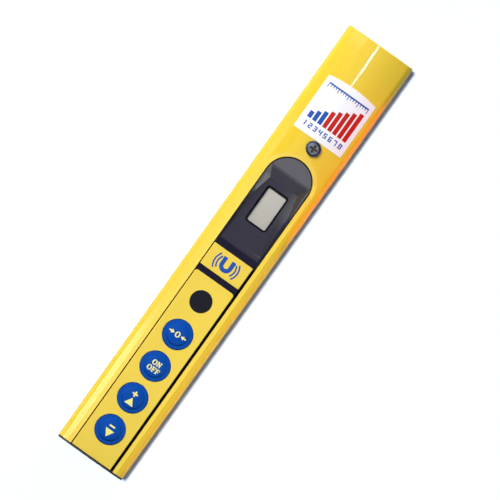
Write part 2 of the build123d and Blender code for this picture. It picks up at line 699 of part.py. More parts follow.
with BuildPart() as end_gasket:
    with BuildSketch(Plane.YZ.offset(rear + END_PLATE)):
        add(body_outline(0.1))
        add(body_outline(WALL), mode=Mode.SUBTRACT)
    extrude(amount=GASKET)

# Battery tray: a bulkhead behind the end plate with a cup for the captive screw, and
# two open bays for the cells
bulkhead_start = rear + END_PLATE
with BuildPart() as battery_tray:
    with BuildSketch(Plane.YZ.offset(bulkhead_start)):
        add(body_outline(WALL + RUNNING_GAP))
        add(band(0, tray_top), mode=Mode.INTERSECT)
    extrude(amount=tray_end - bulkhead_start)
    with BuildSketch(Plane.YZ.offset(bulkhead_start)):
        with Locations((0, cap_screw_z)):
            Circle(cup_radius)
        with Locations((0, (cap_screw_z + tray_top) / 2)):
            Rectangle(2 * cup_radius, cap_screw_z - tray_top + CUP_WALL)
    extrude(amount=head_space + CUP_FLOOR)
    with BuildSketch(Plane.YZ.offset(bay_start)):
        with Locations((CELL_PITCH / 2, cell_z), (-CELL_PITCH / 2, cell_z)):
            Circle(CELL_DIAMETER / 2 + FIT)
        with Locations((0, cell_z)):
            Rectangle(CELL_PITCH + CELL_DIAMETER + 2 * FIT, HEIGHT, align=(Align.CENTER, Align.MIN))
    extrude(amount=bay_length, mode=Mode.SUBTRACT)
    with BuildSketch(Plane.YZ.offset(rear)):
        with Locations((0, cap_screw_z)):
            Circle(CAP_SCREW_HEAD / 2 + RUNNING_GAP)
    extrude(amount=END_PLATE + head_space, mode=Mode.SUBTRACT)
    with BuildSketch(Plane.YZ.offset(rear)):
        with Locations((0, cap_screw_z)):
            Circle(CAP_SCREW_DIAMETER / 2 + RUNNING_GAP)
    extrude(amount=cup_end - rear, mode=Mode.SUBTRACT)
    # Slots in the far wall for the tails of the contacts
    with BuildSketch(Plane.YZ.offset(tray_end - TRAY_END_WALL)):
        with Locations((CELL_PITCH / 2, cell_z), (-CELL_PITCH / 2, cell_z)):
            Rectangle(TAIL_WIDTH + 2 * FIT, TAIL_HEIGHT + 2 * FIT)
    extrude(amount=TRAY_END_WALL, mode=Mode.SUBTRACT)

# Cells: two rows of two, each with its raised terminal
with BuildPart() as battery_cells:
    for row in (-1, 1):
        for place in (0, 1):
            cell_start = bay_start + CONTACT_SPACE + place * CELL_LENGTH + CELL_PLAY
            can_length = CELL_LENGTH - CELL_NUB_HEIGHT - 2 * CELL_PLAY
            with BuildSketch(Plane.YZ.offset(cell_start)):
                with Locations((row * CELL_PITCH / 2, cell_z)):
                    Circle(CELL_DIAMETER / 2)
            extrude(amount=can_length)
            with BuildSketch(Plane.YZ.offset(cell_start + can_length)):
                with Locations((row * CELL_PITCH / 2, cell_z)):
                    Circle(CELL_NUB_DIAMETER / 2)
            extrude(amount=CELL_NUB_HEIGHT)
    shoulders = battery_cells.edges().filter_by(GeomType.CIRCLE)
    fillet(shoulders.filter_by(lambda edge: edge.radius > CELL_DIAMETER / 2 - CELL_PLAY), CELL_EDGE_RADIUS)

# Contacts: a bridge with two bowed leaves at the bulkhead, and two leaves with tails
# through the far wall
with BuildPart() as cell_bridge:
    with BuildSketch(Plane.YZ.offset(bay_start)):
        with Locations((CELL_PITCH / 2, cell_z), (-CELL_PITCH / 2, cell_z)):
            Rectangle(CONTACT_WIDTH, CONTACT_WIDTH)
        with Locations((0, cell_z)):
            Rectangle(CELL_PITCH, CONTACT_WIDTH / 2, align=(Align.CENTER, Align.MIN))
    extrude(amount=CONTACT_THICKNESS)
    for row in (-1, 1):
        leaf_tip = bay_start + CONTACT_SPACE - CONTACT_THICKNESS / 2
        leaf = bowed_leaf(bay_start + CONTACT_THICKNESS, leaf_tip, row)
        extrude(leaf, amount=LEAF_WIDTH)

bay_end = bay_start + bay_length
with BuildPart() as cell_contacts:
    for row in (-1, 1):
        with BuildSketch(Plane.YZ.offset(bay_end)):
            with Locations((row * CELL_PITCH / 2, cell_z)):
                Rectangle(CONTACT_WIDTH, CONTACT_WIDTH)
        extrude(amount=-CONTACT_THICKNESS)
        with BuildSketch(Plane.YZ.offset(bay_end)):
            with Locations((row * CELL_PITCH / 2, cell_z)):
                Rectangle(TAIL_WIDTH, TAIL_HEIGHT)
        extrude(amount=TRAY_END_WALL)
        leaf_tip = bay_end - CONTACT_SPACE + CONTACT_THICKNESS / 2 + FIT
        leaf = bowed_leaf(bay_end - CONTACT_THICKNESS, leaf_tip, row)
        extrude(leaf, amount=LEAF_WIDTH)

# Captive screw with a coin slot, its retaining clip, and its insert in the deck
head_start = rear + END_PLATE + RUNNING_GAP
head_end = head_start + CAP_SCREW_HEAD_HEIGHT
with BuildPart() as cap_screw:
    with BuildSketch(Plane.YZ.offset(head_start)):
        with Locations((0, cap_screw_z)):
            Circle(CAP_SCREW_HEAD / 2)
    extrude(amount=CAP_SCREW_HEAD_HEIGHT)
    chamfer(cap_screw.edges().sort_by(Axis.X)[0], CAP_SCREW_HEAD * 0.05)
    with BuildSketch(Plane.YZ.offset(head_end)):
        with Locations((0, cap_screw_z)):
            Circle(CAP_SCREW_DIAMETER / 2)
    extrude(amount=CAP_SCREW_LENGTH)
    with BuildSketch(Plane.YZ.offset(head_start)):
        with Locations((0, cap_screw_z)):
            Rectangle(2 * CAP_SCREW_HEAD, CAP_SCREW_HEAD * 0.2)
    extrude(amount=CAP_SCREW_HEAD_HEIGHT * 0.55, mode=Mode.SUBTRACT)
    with BuildSketch(Plane.YZ.offset(clip_start)):
        with Locations((0, cap_screw_z)):
            Circle(CAP_SCREW_DIAMETER)
            Circle(CAP_SCREW_DIAMETER * 0.38, mode=Mode.SUBTRACT)
    extrude(amount=CLIP_THICKNESS, mode=Mode.SUBTRACT)

with BuildPart() as cap_screw_clip:
    with BuildSketch(Plane.YZ.offset(clip_start)):
        with Locations((0, cap_screw_z)):
            Circle(CAP_SCREW_DIAMETER * 0.8)
            Circle(CAP_SCREW_DIAMETER * 0.38, mode=Mode.SUBTRACT)
            with Locations((0, -CAP_SCREW_DIAMETER)):
                Rectangle(CAP_SCREW_DIAMETER * 0.6, 2 * CAP_SCREW_DIAMETER, mode=Mode.SUBTRACT)
    extrude(amount=CLIP_THICKNESS)

with BuildPart() as cap_insert:
    with BuildSketch(Plane.YZ.offset(cap_boss_start)):
        with Locations((0, cap_screw_z)):
            Circle(cap_insert_radius)
            Circle(CAP_SCREW_DIAMETER / 2 + RUNNING_GAP, mode=Mode.SUBTRACT)
    extrude(amount=CAP_BOSS_LENGTH)

# Contact block under the main board, with a bowed leaf for each tail of the tray
block_start = tray_end + CONTACT_SPACE
block_height = board_z - cell_z + CONTACT_WIDTH * 0.65
with BuildPart() as contact_block:
    with BuildSketch(Plane.YZ.offset(block_start)):
        with Locations((0, board_z)):
            Rectangle(
                CELL_PITCH + 1.2 * CONTACT_WIDTH,
                block_height,
                align=(Align.CENTER, Align.MAX),
            )
    extrude(amount=BLOCK_THICKNESS)

with BuildPart() as contact_leaves:
    for row in (-1, 1):
        leaf_tip = tray_end + CONTACT_THICKNESS / 2 + FIT
        leaf = bowed_leaf(block_start - CONTACT_THICKNESS / 2, leaf_tip, row)
        extrude(leaf, amount=LEAF_WIDTH)

# Magnetic sensors: a wound spool with a core at each end of a straight bar
rear_sensor = block_start + BLOCK_THICKNESS + SENSOR_GAP
front_sensor = plug_start - SENSOR_GAP - SENSOR_LENGTH
bar_start = rear_sensor + SENSOR_LENGTH
spool_barrel = SENSOR_DIAMETER * 0.45
sensor_pieces = []
for place, outer_end, direction in (
    ("rear", rear_sensor, 1),
    ("front", front_sensor + SENSOR_LENGTH, -1),
):
    sensor_plane = Plane((outer_end, 0, sensor_z), x_dir=(0, direction, 0), z_dir=(direction, 0, 0))
    with BuildPart() as spool:
        with BuildSketch(sensor_plane):
            Circle(SENSOR_DIAMETER / 2)
        extrude(amount=SPOOL_FLANGE)
        with BuildSketch(sensor_plane):
            Circle(spool_barrel / 2)
        extrude(amount=SENSOR_LENGTH)
        with BuildSketch(sensor_plane.offset(SENSOR_LENGTH - SPOOL_FLANGE)):
            Circle(SENSOR_DIAMETER / 2)
        extrude(amount=SPOOL_FLANGE)
        with BuildSketch(sensor_plane.offset(SENSOR_LENGTH)):
            Circle(BAR_BORE / 2 - FIT / 2)
        extrude(amount=SPIGOT)
        with BuildSketch(sensor_plane):
            Circle(CORE_DIAMETER / 2 + FIT / 2)
        extrude(amount=SENSOR_LENGTH + SPIGOT, mode=Mode.SUBTRACT)
    sensor_pieces.append((place + "_spool", spool.part))
    with BuildPart() as winding:
        with BuildSketch(sensor_plane.offset(SPOOL_FLANGE)):
            Circle(SENSOR_DIAMETER / 2 - SPOOL_FLANGE / 2)
            Circle(spool_barrel / 2, mode=Mode.SUBTRACT)
        extrude(amount=SENSOR_LENGTH - 2 * SPOOL_FLANGE)
    sensor_pieces.append((place + "_winding", winding.part))
    with BuildPart() as core:
        with BuildSketch(sensor_plane.offset(-CORE_STANDOFF)):
            Circle(CORE_DIAMETER / 2)
        extrude(amount=SENSOR_LENGTH + SPIGOT)
    sensor_pieces.append((place + "_core", core.part))

with BuildPart() as sensor_bar:
    with BuildSketch(Plane.YZ.offset(bar_start)):
        with Locations((0, sensor_z)):
            Circle(BAR_DIAMETER / 2)
            Circle(BAR_BORE / 2, mode=Mode.SUBTRACT)
    extrude(amount=front_sensor - bar_start)

bar_length = front_sensor - bar_start
cradles = []
for place, share in (("rear", 0.22), ("front", 0.78)):
    with BuildPart() as cradle:
        with BuildSketch(Plane.YZ.offset(bar_start + share * bar_length - CRADLE_LENGTH / 2)):
            add(body_outline(WALL))
            add(band(0, lower_guide_z), mode=Mode.INTERSECT)
            with Locations((0, sensor_z)):
                Circle(BAR_DIAMETER / 2, mode=Mode.SUBTRACT)
        extrude(amount=CRADLE_LENGTH)
    cradles.append((place + "_cradle", cradle.part))

# Front plug with a groove for its seal, and its two countersunk screws
groove_start = plug_start + PLUG_LENGTH * 0.2
with BuildPart() as front_plug:
    with BuildSketch(Plane.YZ.offset(plug_start)):
        add(body_outline(WALL + FIT))
    extrude(amount=PLUG_LENGTH)
    chamfer(front_plug.faces().sort_by(Axis.X)[-1].edges(), 0.25 * WALL)
    with BuildSketch(Plane.YZ.offset(groove_start)):
        add(body_outline(WALL))
        add(body_outline(WALL + SEAL_DEPTH), mode=Mode.SUBTRACT)
    extrude(amount=SEAL_WIDTH, mode=Mode.SUBTRACT)
    with BuildSketch(Plane.YZ.offset(plug_start)):
        with Locations((0, sensor_z)):
            Circle(CORE_DIAMETER / 2 + FIT)
    extrude(amount=2 * CORE_STANDOFF, mode=Mode.SUBTRACT)
    with BuildSketch(Plane.XY):
        with Locations((plug_screw_x, plug_screw_y), (plug_screw_x, -plug_screw_y)):
            Circle(PLUG_SCREW_DIAMETER / 2 + FIT / 2)
    extrude(amount=PLUG_SCREW_LENGTH + CORE_STANDOFF, mode=Mode.SUBTRACT)

with BuildPart() as plug_seal:
    with BuildSketch(Plane.YZ.offset(groove_start)):
        add(body_outline(WALL))
        add(body_outline(WALL + SEAL_DEPTH), mode=Mode.SUBTRACT)
    extrude(amount=SEAL_WIDTH)

head_radius = PLUG_SCREW_DIAMETER * 0.9
with BuildPart() as plug_screws:
    for side in (-1, 1):
        with Locations((plug_screw_x, side * plug_screw_y, FIT)):
            Cone(
                head_radius,
                PLUG_SCREW_DIAMETER / 2,
                head_radius - PLUG_SCREW_DIAMETER / 2,
                align=(Align.CENTER, Align.CENTER, Align.MIN),
            )
            Cylinder(
                PLUG_SCREW_DIAMETER / 2,
                PLUG_SCREW_LENGTH,
                align=(Align.CENTER, Align.CENTER, Align.MIN),
            )

pieces = [
    ("housing_tube", housing_tube.part),
    ("control_deck", control_deck.part),
    ("keypad_plate", keypad_plate.part),
    ("trim_plate", trim_plate.part),
    ("sound_mesh", sound_mesh.part),
    ("speaker", speaker.part),
    ("keypad_board", keypad_board.part),
    ("main_board", main_board.part),
    ("board_chips", board_chips.part),
    ("board_header", board_header.part),
    ("display_window", display_window.part),
    ("display_glass", display_glass.part),
    ("display_board", display_board.part),
    ("display_ribbon", display_ribbon.part),
    ("deck_screw", deck_screw.part),
    ("deck_insert", deck_insert.part),
    ("label", label.part),
    ("end_plate", end_plate.part),
    ("end_gasket", end_gasket.part),
    ("battery_tray", battery_tray.part),
    ("battery_cells", battery_cells.part),
    ("cell_bridge", cell_bridge.part),
    ("cell_contacts", cell_contacts.part),
    ("cap_screw", cap_screw.part),
    ("cap_screw_clip", cap_screw_clip.part),
    ("cap_insert", cap_insert.part),
    ("contact_block", contact_block.part),
    ("contact_leaves", contact_leaves.part),
    ("sensor_bar", sensor_bar.part),
    ("front_plug", front_plug.part),
    ("plug_seal", plug_seal.part),
    ("plug_screws", plug_screws.part),
]
pieces += keys + domes + sensor_pieces + cradles

os.makedirs("parts", exist_ok=True)
for name, piece in pieces:
    piece.label = name
    export_step(piece, "parts/" + name + ".step")
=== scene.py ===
"""Looks of the magnetic locator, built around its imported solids."""
import json
import math

import bmesh
import bpy
from mathutils import Matrix, Vector
from mathutils.bvhtree import BVHTree


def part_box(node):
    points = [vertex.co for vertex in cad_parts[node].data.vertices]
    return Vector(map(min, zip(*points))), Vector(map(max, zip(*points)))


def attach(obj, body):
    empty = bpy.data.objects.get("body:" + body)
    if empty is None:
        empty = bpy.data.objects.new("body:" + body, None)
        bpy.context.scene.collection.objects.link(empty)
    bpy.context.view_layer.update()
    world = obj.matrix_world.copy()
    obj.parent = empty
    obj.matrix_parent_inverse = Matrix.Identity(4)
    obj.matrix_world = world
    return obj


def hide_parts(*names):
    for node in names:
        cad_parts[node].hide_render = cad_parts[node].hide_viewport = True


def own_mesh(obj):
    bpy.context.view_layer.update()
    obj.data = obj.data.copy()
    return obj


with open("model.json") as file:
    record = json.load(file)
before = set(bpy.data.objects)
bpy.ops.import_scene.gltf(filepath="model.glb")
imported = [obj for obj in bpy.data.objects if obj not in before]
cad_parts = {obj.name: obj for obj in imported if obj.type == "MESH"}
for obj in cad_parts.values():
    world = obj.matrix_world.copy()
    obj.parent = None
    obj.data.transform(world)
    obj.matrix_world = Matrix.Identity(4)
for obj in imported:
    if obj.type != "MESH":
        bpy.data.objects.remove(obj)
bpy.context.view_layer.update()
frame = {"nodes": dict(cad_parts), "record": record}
nodes = frame["nodes"]
scene = bpy.context.scene
scene.view_settings.view_transform = "Standard"
MM = 0.001


def middle(node):
    low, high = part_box(node)
    return (low + high) / 2


def top_middle(node):
    low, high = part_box(node)
    return Vector(((low.x + high.x) / 2, (low.y + high.y) / 2, high.z))


# Materials. Noise lies mostly between these two values, and worn edges are patchy between theirs.
NOISE_LOW = 0.3
NOISE_HIGH = 0.7
WEAR_SIZE = 2.5
WEAR_LOW = 0.35
WEAR_HIGH = 0.65
LEAST_WEAR = 0.2
WORN_ROUGHNESS = 0.15
POLISH_SIZE = 0.35
POLISH_CHANGE = 0.15
FLAT_COSINE = 0.99
SHARP_COSINE = 0.86
WAVE_RADIANS = 20.0
WOBBLE_SIZE = 0.2


def times(colour, factor):
    return tuple(min(1.0, channel * factor) for channel in colour)


class Look:
    """A node material around one shader. Sizes are in mm, places in the part's frame."""

    def __init__(self, name, metal=0.0, level=0.5):
        self.material = bpy.data.materials.new(name)
        self.material.use_nodes = True
        self.tree = self.material.node_tree
        self.shader = self.tree.nodes["Principled BSDF"]
        self.shader.inputs["Metallic"].default_value = metal
        self.shader.inputs["Specular IOR Level"].default_value = level
        self.place = self.add("ShaderNodeTexCoord").outputs["Object"]

    def add(self, kind, **settings):
        node = self.tree.nodes.new(kind)
        for key, value in settings.items():
            setattr(node, key, value)
        return node

    def put(self, socket, value):
        """Links an output to a socket, or sets the socket's own value."""
        if isinstance(value, bpy.types.NodeSocket):
            self.tree.links.new(value, socket)
        elif socket.type == "RGBA":
            socket.default_value = (*value, 1.0)
        else:
            socket.default_value = value

    def paint(self, colour, rough):
        self.put(self.shader.inputs["Base Color"], colour)
        self.put(self.shader.inputs["Roughness"], rough)
        return self.material

    def scaled(self, size, stretch=(1, 1, 1)):
        """The place in units of a size."""
        mapping = self.add("ShaderNodeMapping")
        self.put(mapping.inputs["Vector"], self.place)
        mapping.inputs["Scale"].default_value = [factor / (size * MM) for factor in stretch]
        return mapping.outputs["Vector"]

    def noise(self, size, detail=2.0, stretch=(1, 1, 1)):
        texture = self.add("ShaderNodeTexNoise")
        self.put(texture.inputs["Vector"], self.scaled(size, stretch))
        texture.inputs["Scale"].default_value = 1.0
        texture.inputs["Detail"].default_value = detail
        return texture.outputs["Fac"]

    def cells(self, size, feature="F1"):
        texture = self.add("ShaderNodeTexVoronoi", feature=feature, distance="CHEBYCHEV")
        self.put(texture.inputs["Vector"], self.scaled(size))
        texture.inputs["Scale"].default_value = 1.0
        return texture.outputs["Distance"]

    def bands(self, pitch, axis, wobble=0.0):
        """Sine ridges across an axis, one every pitch."""
        texture = self.add("ShaderNodeTexWave", wave_type="BANDS", bands_direction=axis, wave_profile="SIN")
        self.put(texture.inputs["Vector"], self.scaled(pitch))
        texture.inputs["Scale"].default_value = 2 * math.pi / WAVE_RADIANS
        texture.inputs["Distortion"].default_value = wobble
        texture.inputs["Detail Scale"].default_value = WOBBLE_SIZE
        return texture.outputs["Fac"]

    def part(self, axis):
        split = self.add("ShaderNodeSeparateXYZ")
        self.put(split.inputs["Vector"], self.place)
        return split.outputs[axis]

    def math(self, operation, first, second=0.0):
        node = self.add("ShaderNodeMath", operation=operation)
        self.put(node.inputs[0], first)
        self.put(node.inputs[1], second)
        return node.outputs["Value"]

    def product(self, first, second):
        return self.math("MULTIPLY", first, second)

    def larger(self, first, second):
        return self.math("MAXIMUM", first, second)

    def beyond(self, value, limit):
        """How far a value is past a limit, and nothing before it."""
        return self.larger(self.math("SUBTRACT", value, limit), 0.0)

    def diagonal(self, first, second):
        squares = [self.product(side, side) for side in (first, second)]
        return self.math("SQRT", self.math("ADD", *squares))

    def vector(self, operation, first, second, result="Vector"):
        node = self.add("ShaderNodeVectorMath", operation=operation)
        self.put(node.inputs[0], first)
        self.put(node.inputs[1], second)
        return node.outputs[result]

    def along(self, direction, origin):
        """Signed distance from a point along a direction, in metres."""
        offset = self.vector("SUBTRACT", self.place, origin)
        return self.vector("DOT_PRODUCT", offset, direction, "Value")

    def radius(self, origin):
        """Distance from an upright axis through a point, in metres."""
        offset = self.vector("SUBTRACT", self.place, origin)
        flat = self.vector("MULTIPLY", offset, (1, 1, 0))
        length = self.add("ShaderNodeVectorMath", operation="LENGTH")
        self.put(length.inputs[0], flat)
        return length.outputs["Value"]

    def remap(self, value, low, high, to_low=0.0, to_high=1.0):
        node = self.add("ShaderNodeMapRange")
        self.put(node.inputs["Value"], value)
        node.inputs["From Min"].default_value = low
        node.inputs["From Max"].default_value = high
        node.inputs["To Min"].default_value = to_low
        node.inputs["To Max"].default_value = to_high
        return node.outputs["Result"]

    def uneven(self, size, low=0.0, high=1.0, detail=2.0):
        """Wanders between two levels, in patches of a size."""
        return self.remap(self.noise(size, detail), NOISE_LOW, NOISE_HIGH, low, high)

    def mix(self, factor, first, second):
        node = self.add("ShaderNodeMix", data_type="RGBA")
        self.put(node.inputs["Factor"], factor)
        colours = [socket for socket in node.inputs if socket.type == "RGBA"]
        self.put(colours[0], first)
        self.put(colours[1], second)
        return next(socket for socket in node.outputs if socket.type == "RGBA")

    def cloudy(self, colour, tint, size):
        """A colour that is a little darker here and lighter there."""
        return self.mix(self.uneven(size, detail=3.0), times(colour, 1 - tint), times(colour, 1 + tint))

    def edges(self, radius):
        """One along the sharp edges, nothing on the faces."""
        rounded_off = self.add("ShaderNodeBevel", samples=4)
        rounded_off.inputs["Radius"].default_value = radius * MM
        flat = self.add("ShaderNodeNewGeometry")
        turn = self.vector("DOT_PRODUCT", rounded_off.outputs["Normal"], flat.outputs["Normal"], "Value")
        return self.remap(turn, FLAT_COSINE, SHARP_COSINE)

    def rubbed(self, edge, wear):
        """Sharp edges, more worn here and less there."""
        patches = self.remap(self.noise(WEAR_SIZE, detail=4.0), WEAR_LOW, WEAR_HIGH, LEAST_WEAR, wear)
        return self.product(self.edges(edge), patches)

    def roughened(self, rough, rubbed):
        return self.math("ADD", rough, self.product(rubbed, WORN_ROUGHNESS))

    def bump(self, height, strength, depth):
        node = self.add("ShaderNodeBump")
        node.inputs["Strength"].default_value = strength
        node.inputs["Distance"].default_value = depth * MM
        self.put(node.inputs["Height"], height)
        self.put(self.shader.inputs["Normal"], node.outputs["Normal"])

    def finish(self, colour, rough, tint=0.05, tint_size=14.0, grain=0.1, grain_size=0.5, grain_depth=0.02,
               worn=None, wear=0.4, edge=0.4):
        """Cloudy colour, uneven polish, fine grain, and sharp edges in an edge colour: rubbed wear, which on
        the keypad plate is also a painted highlight.
        """
        colour = self.cloudy(colour, tint, tint_size)
        rough = self.uneven(tint_size * POLISH_SIZE, low=rough * (1 - POLISH_CHANGE),
                            high=rough * (1 + POLISH_CHANGE), detail=4.0)
        if worn:
            rubbed = self.rubbed(edge, wear)
            colour = self.mix(rubbed, colour, worn)
            rough = self.roughened(rough, rubbed)
        self.bump(self.noise(grain_size), grain, grain_depth)
        return self.paint(colour, rough)


YELLOW = (0.86, 0.585, 0.034)
PLATE = (0.87, 0.62, 0.055)
BLUE = (0.0, 0.068, 0.40)
BLACK = (0.009, 0.007, 0.02)
PALE = (0.95, 0.88, 0.27)
RED = (0.56, 0.006, 0.004)

looks = {}


def plain(name, colour, rough, metal=0.0, level=0.5, **settings):
    looks[name] = Look(name, metal, level).finish(colour, rough, **settings)


# Its paler edges are partly rubbed wear and partly a painted highlight along the plate's edges
plain("plate_yellow", PLATE, rough=0.45, level=0.35, tint=0.03, tint_size=30, grain=0.25, grain_size=0.25,
      worn=(0.97, 0.86, 0.3), wear=0.8, edge=0.3)
plain("key_blue", BLUE, rough=0.42, level=0.05, tint_size=8, grain=0.12, grain_size=0.35,
      worn=(0.03, 0.13, 0.5), wear=0.6, edge=0.25)
plain("plate_black", (0.010, 0.011, 0.016), rough=0.3, level=0.4, tint=0.2, tint_size=5,
      grain=0.2, grain_size=0.15, worn=(0.2, 0.2, 0.22), wear=0.5)
plain("tray_black", (0.016, 0.016, 0.018), rough=0.5, level=0.4, tint=0.15, tint_size=8,
      grain=0.5, grain_size=0.35, worn=(0.07, 0.07, 0.075))
plain("speaker_black", (0.02, 0.02, 0.022), rough=0.6, level=0.3, grain=0.4, grain_size=0.4)
plain("seal_black", (0.016, 0.016, 0.017), rough=0.75, level=0.3, grain=0.5, grain_size=0.25)
plain("cradle_rubber", (0.035, 0.035, 0.037), rough=0.85, level=0.2, tint=0.25, tint_size=1.2,
      grain=0.9, grain_size=0.7, grain_depth=0.1)
plain("dome_rubber", (0.42, 0.42, 0.43), rough=0.6, level=0.35, grain=0.3, grain_size=0.3)
plain("spool_white", (0.68, 0.67, 0.62), rough=0.45, level=0.4, grain=0.25, worn=(0.8, 0.79, 0.75))
plain("bar_plastic", (0.36, 0.33, 0.2), rough=0.45, level=0.4, tint=0.12, tint_size=3)
plain("chip_black", (0.017, 0.017, 0.018), rough=0.55, level=0.35, grain=0.5, grain_size=0.12,
      worn=(0.06, 0.06, 0.06))
plain("contact_metal", (0.66, 0.63, 0.55), rough=0.28, metal=1.0, tint=0.1, tint_size=2,
      worn=(0.8, 0.78, 0.7))
plain("core_metal", (0.33, 0.33, 0.35), rough=0.35, metal=1.0, tint=0.12, tint_size=2)
plain("steel", (0.42, 0.43, 0.46), rough=0.32, metal=1.0, tint=0.12, tint_size=1.5,
      grain=0.3, grain_size=0.15, worn=(0.6, 0.6, 0.62))
plain("label_white", (0.93, 0.93, 0.97), rough=0.4, level=0.35, tint=0.01, tint_size=6,
      grain=0.15, grain_size=0.3)
# Non-reflecting black for the strips of painted shade beside the plates and around the display
plain("line_black", (0.004, 0.004, 0.008), rough=0.8, level=0.0, grain=0.2, grain_size=0.2)
plain("legend_ink", PALE, rough=0.5, level=0.2, tint=0.02, tint_size=2, grain=0.2, grain_size=0.2)
plain("print_blue", BLUE, rough=0.5, level=0.2, tint=0.04, tint_size=3)
plain("print_red", RED, rough=0.5, level=0.2, tint=0.04, tint_size=3)


def yellow_coat():
    """Glossy coat, rubbed dull on the sides where the tube is held."""
    gloss_bottom = 33.4
    dull_top = 32.2
    look = Look("yellow_coat", level=0.25)
    rubbed = look.rubbed(edge=0.35, wear=0.5)
    gloss = look.uneven(size=21.0, low=0.068, high=0.092, detail=4.0)
    dull = look.uneven(size=9.0, low=0.6, high=0.75, detail=4.0)
    sides = look.remap(look.part("Z"), gloss_bottom * MM, dull_top * MM)
    rough = look.larger(gloss, look.product(sides, dull))
    look.bump(look.noise(size=1.8), strength=0.05, depth=0.01)
    colour = look.mix(rubbed, look.cloudy(YELLOW, tint=0.015, size=60.0), (0.95, 0.78, 0.2))
    return look.paint(colour, look.roughened(rough, rubbed))


# The slot of the control deck, in mm
SLOT_MIDDLE_Y = -0.5
SURROUND_START = -1.55
SURROUND_ARCH = 47.55
SURROUND_HALF = 13.1
# Painted shade in the grooves beside and behind the display surround
GROOVE_TOP = 34.2
GROOVE_ROUGHNESS = 0.6
GROOVE_BLUR = 0.08
GROOVE_SPREAD = 0.06
FACETS_START = 33.0
FACET_ROUGHNESS = 0.4
FACET_DEPTH = 0.03
FACET_BLUR = 0.05
FACET_LEAN = (0.7, 0.85)
FACET_LEAST_RISE = 0.5
# Painted reflections: the left corner facet is painted pale grey, and the right one brown like the yellow
# rail it reflects
FACET_PAINTED_REFLECTIONS = {-1: (0.055, 0.055, 0.06), 1: (0.06, 0.04, 0.03)}


def facet_mask(look, side):
    """One on the sloped corner facet at a side of the display's end wall."""
    sloped = [face for face in nodes["control_deck"].data.polygons
              if FACET_LEAN[0] < side * face.normal.y < FACET_LEAN[1]
              and face.normal.z > FACET_LEAST_RISE and face.center.x > FACETS_START * MM]
    facet = max(sloped, key=lambda face: face.area)
    off = look.math("ABSOLUTE", look.along(facet.normal, facet.center))
    front = look.remap(look.part("X"), (FACETS_START - 1) * MM, FACETS_START * MM)
    return look.product(look.remap(off, (FACET_DEPTH + FACET_BLUR) * MM, FACET_DEPTH * MM), front)


def groove_mask(look):
    """One where shade is painted: in the groove beside the display surround and behind it."""
    reach = look.beyond(look.part("X"), SURROUND_ARCH * MM)
    across = look.math("SUBTRACT", look.part("Y"), SLOT_MIDDLE_Y * MM)
    from_middle = look.diagonal(reach, across)
    start = SURROUND_HALF - GROOVE_SPREAD
    beside = look.remap(from_middle, start * MM, (start + GROOVE_BLUR) * MM)
    behind = look.product(look.math("LESS_THAN", look.part("X"), SURROUND_START * MM),
                          look.math("LESS_THAN", look.part("Z"), GROOVE_TOP * MM))
    return look.larger(beside, behind)


def deck_black():
    """Glossy moulding, with painted reflections on the satin facets beside the end wall and painted shade in
    the grooves around it.
    """
    look = Look("deck_black", level=0.45)
    moulded = look.cloudy(BLACK, tint=0.15, size=9.0)
    colour = look.mix(look.rubbed(edge=0.3, wear=0.6), moulded, (0.06, 0.06, 0.07))
    rough = look.uneven(size=3.2, low=0.042, high=0.05, detail=4.0)
    # Painted reflections on the two corner facets, which are also rougher
    for side, painted_reflection in FACET_PAINTED_REFLECTIONS.items():
        mask = facet_mask(look, side)
        colour = look.mix(mask, colour, painted_reflection)
        rough = look.larger(rough, look.product(mask, FACET_ROUGHNESS))
    # Painted shade: the grooves are painted almost black and matte
    groove_shade = groove_mask(look)
    look.bump(look.noise(size=0.6), strength=0.04, depth=0.01)
    return look.paint(look.mix(groove_shade, colour, (0.0025, 0.0025, 0.005)),
                      look.larger(rough, look.product(groove_shade, GROOVE_ROUGHNESS)))


def woven_mesh():
    """Black gauze: threads that cross at right angles."""
    thread = 0.42
    look = Look("mesh_black", level=0.12)
    weave = look.product(look.bands(thread, "X", wobble=0.4), look.bands(thread, "Y", wobble=0.4))
    look.bump(weave, strength=0.8, depth=0.08)
    return look.paint(look.mix(weave, (0.006, 0.006, 0.012), (0.017, 0.017, 0.031)),
                      look.remap(weave, 0.0, 1.0, to_low=0.8, to_high=0.55))


def circuit_board():
    """Green solder mask over copper tracks, with tinned pads."""
    look = Look("board_green", level=0.45)
    tracks = look.remap(look.cells(size=2.6, feature="DISTANCE_TO_EDGE"), low=0.03, high=0.06)
    green = look.mix(tracks, (0.02, 0.2, 0.075), (0.008, 0.085, 0.03))
    pads = look.remap(look.cells(size=3.4), low=0.11, high=0.09)
    look.put(look.shader.inputs["Metallic"], pads)
    look.bump(tracks, strength=0.3, depth=0.03)
    return look.paint(look.mix(pads, green, (0.62, 0.58, 0.46)),
                      look.uneven(size=1.5, low=0.28, high=0.42, detail=3.0))


def ribbon_cable():
    """Amber film with a row of fine conductors."""
    look = Look("ribbon")
    lines = look.remap(look.bands(pitch=1.0, axis="Y"), low=0.35, high=0.65)
    look.bump(lines, strength=0.3, depth=0.05)
    return look.paint(look.mix(lines, (0.36, 0.13, 0.015), (0.5, 0.26, 0.05)),
                      look.uneven(size=3.0, low=0.2, high=0.34))


def wound_wire():
    """Enamelled copper wire, turn beside turn."""
    look = Look("winding_copper", metal=0.9)
    turns = look.bands(pitch=0.45, axis="X", wobble=0.3)
    look.bump(turns, strength=0.7, depth=0.12)
    return look.paint(look.mix(turns, (0.16, 0.045, 0.012), (0.66, 0.27, 0.09)),
                      look.uneven(size=2.0, low=0.26, high=0.4))


def turned_brass():
    look = Look("brass", metal=1.0)
    rings = look.bands(pitch=0.6, axis="Z", wobble=0.5)
    look.bump(rings, strength=0.35, depth=0.05)
    return look.paint(look.mix(rings, (0.5, 0.32, 0.09), (0.68, 0.47, 0.17)),
                      look.uneven(size=1.0, low=0.25, high=0.42))


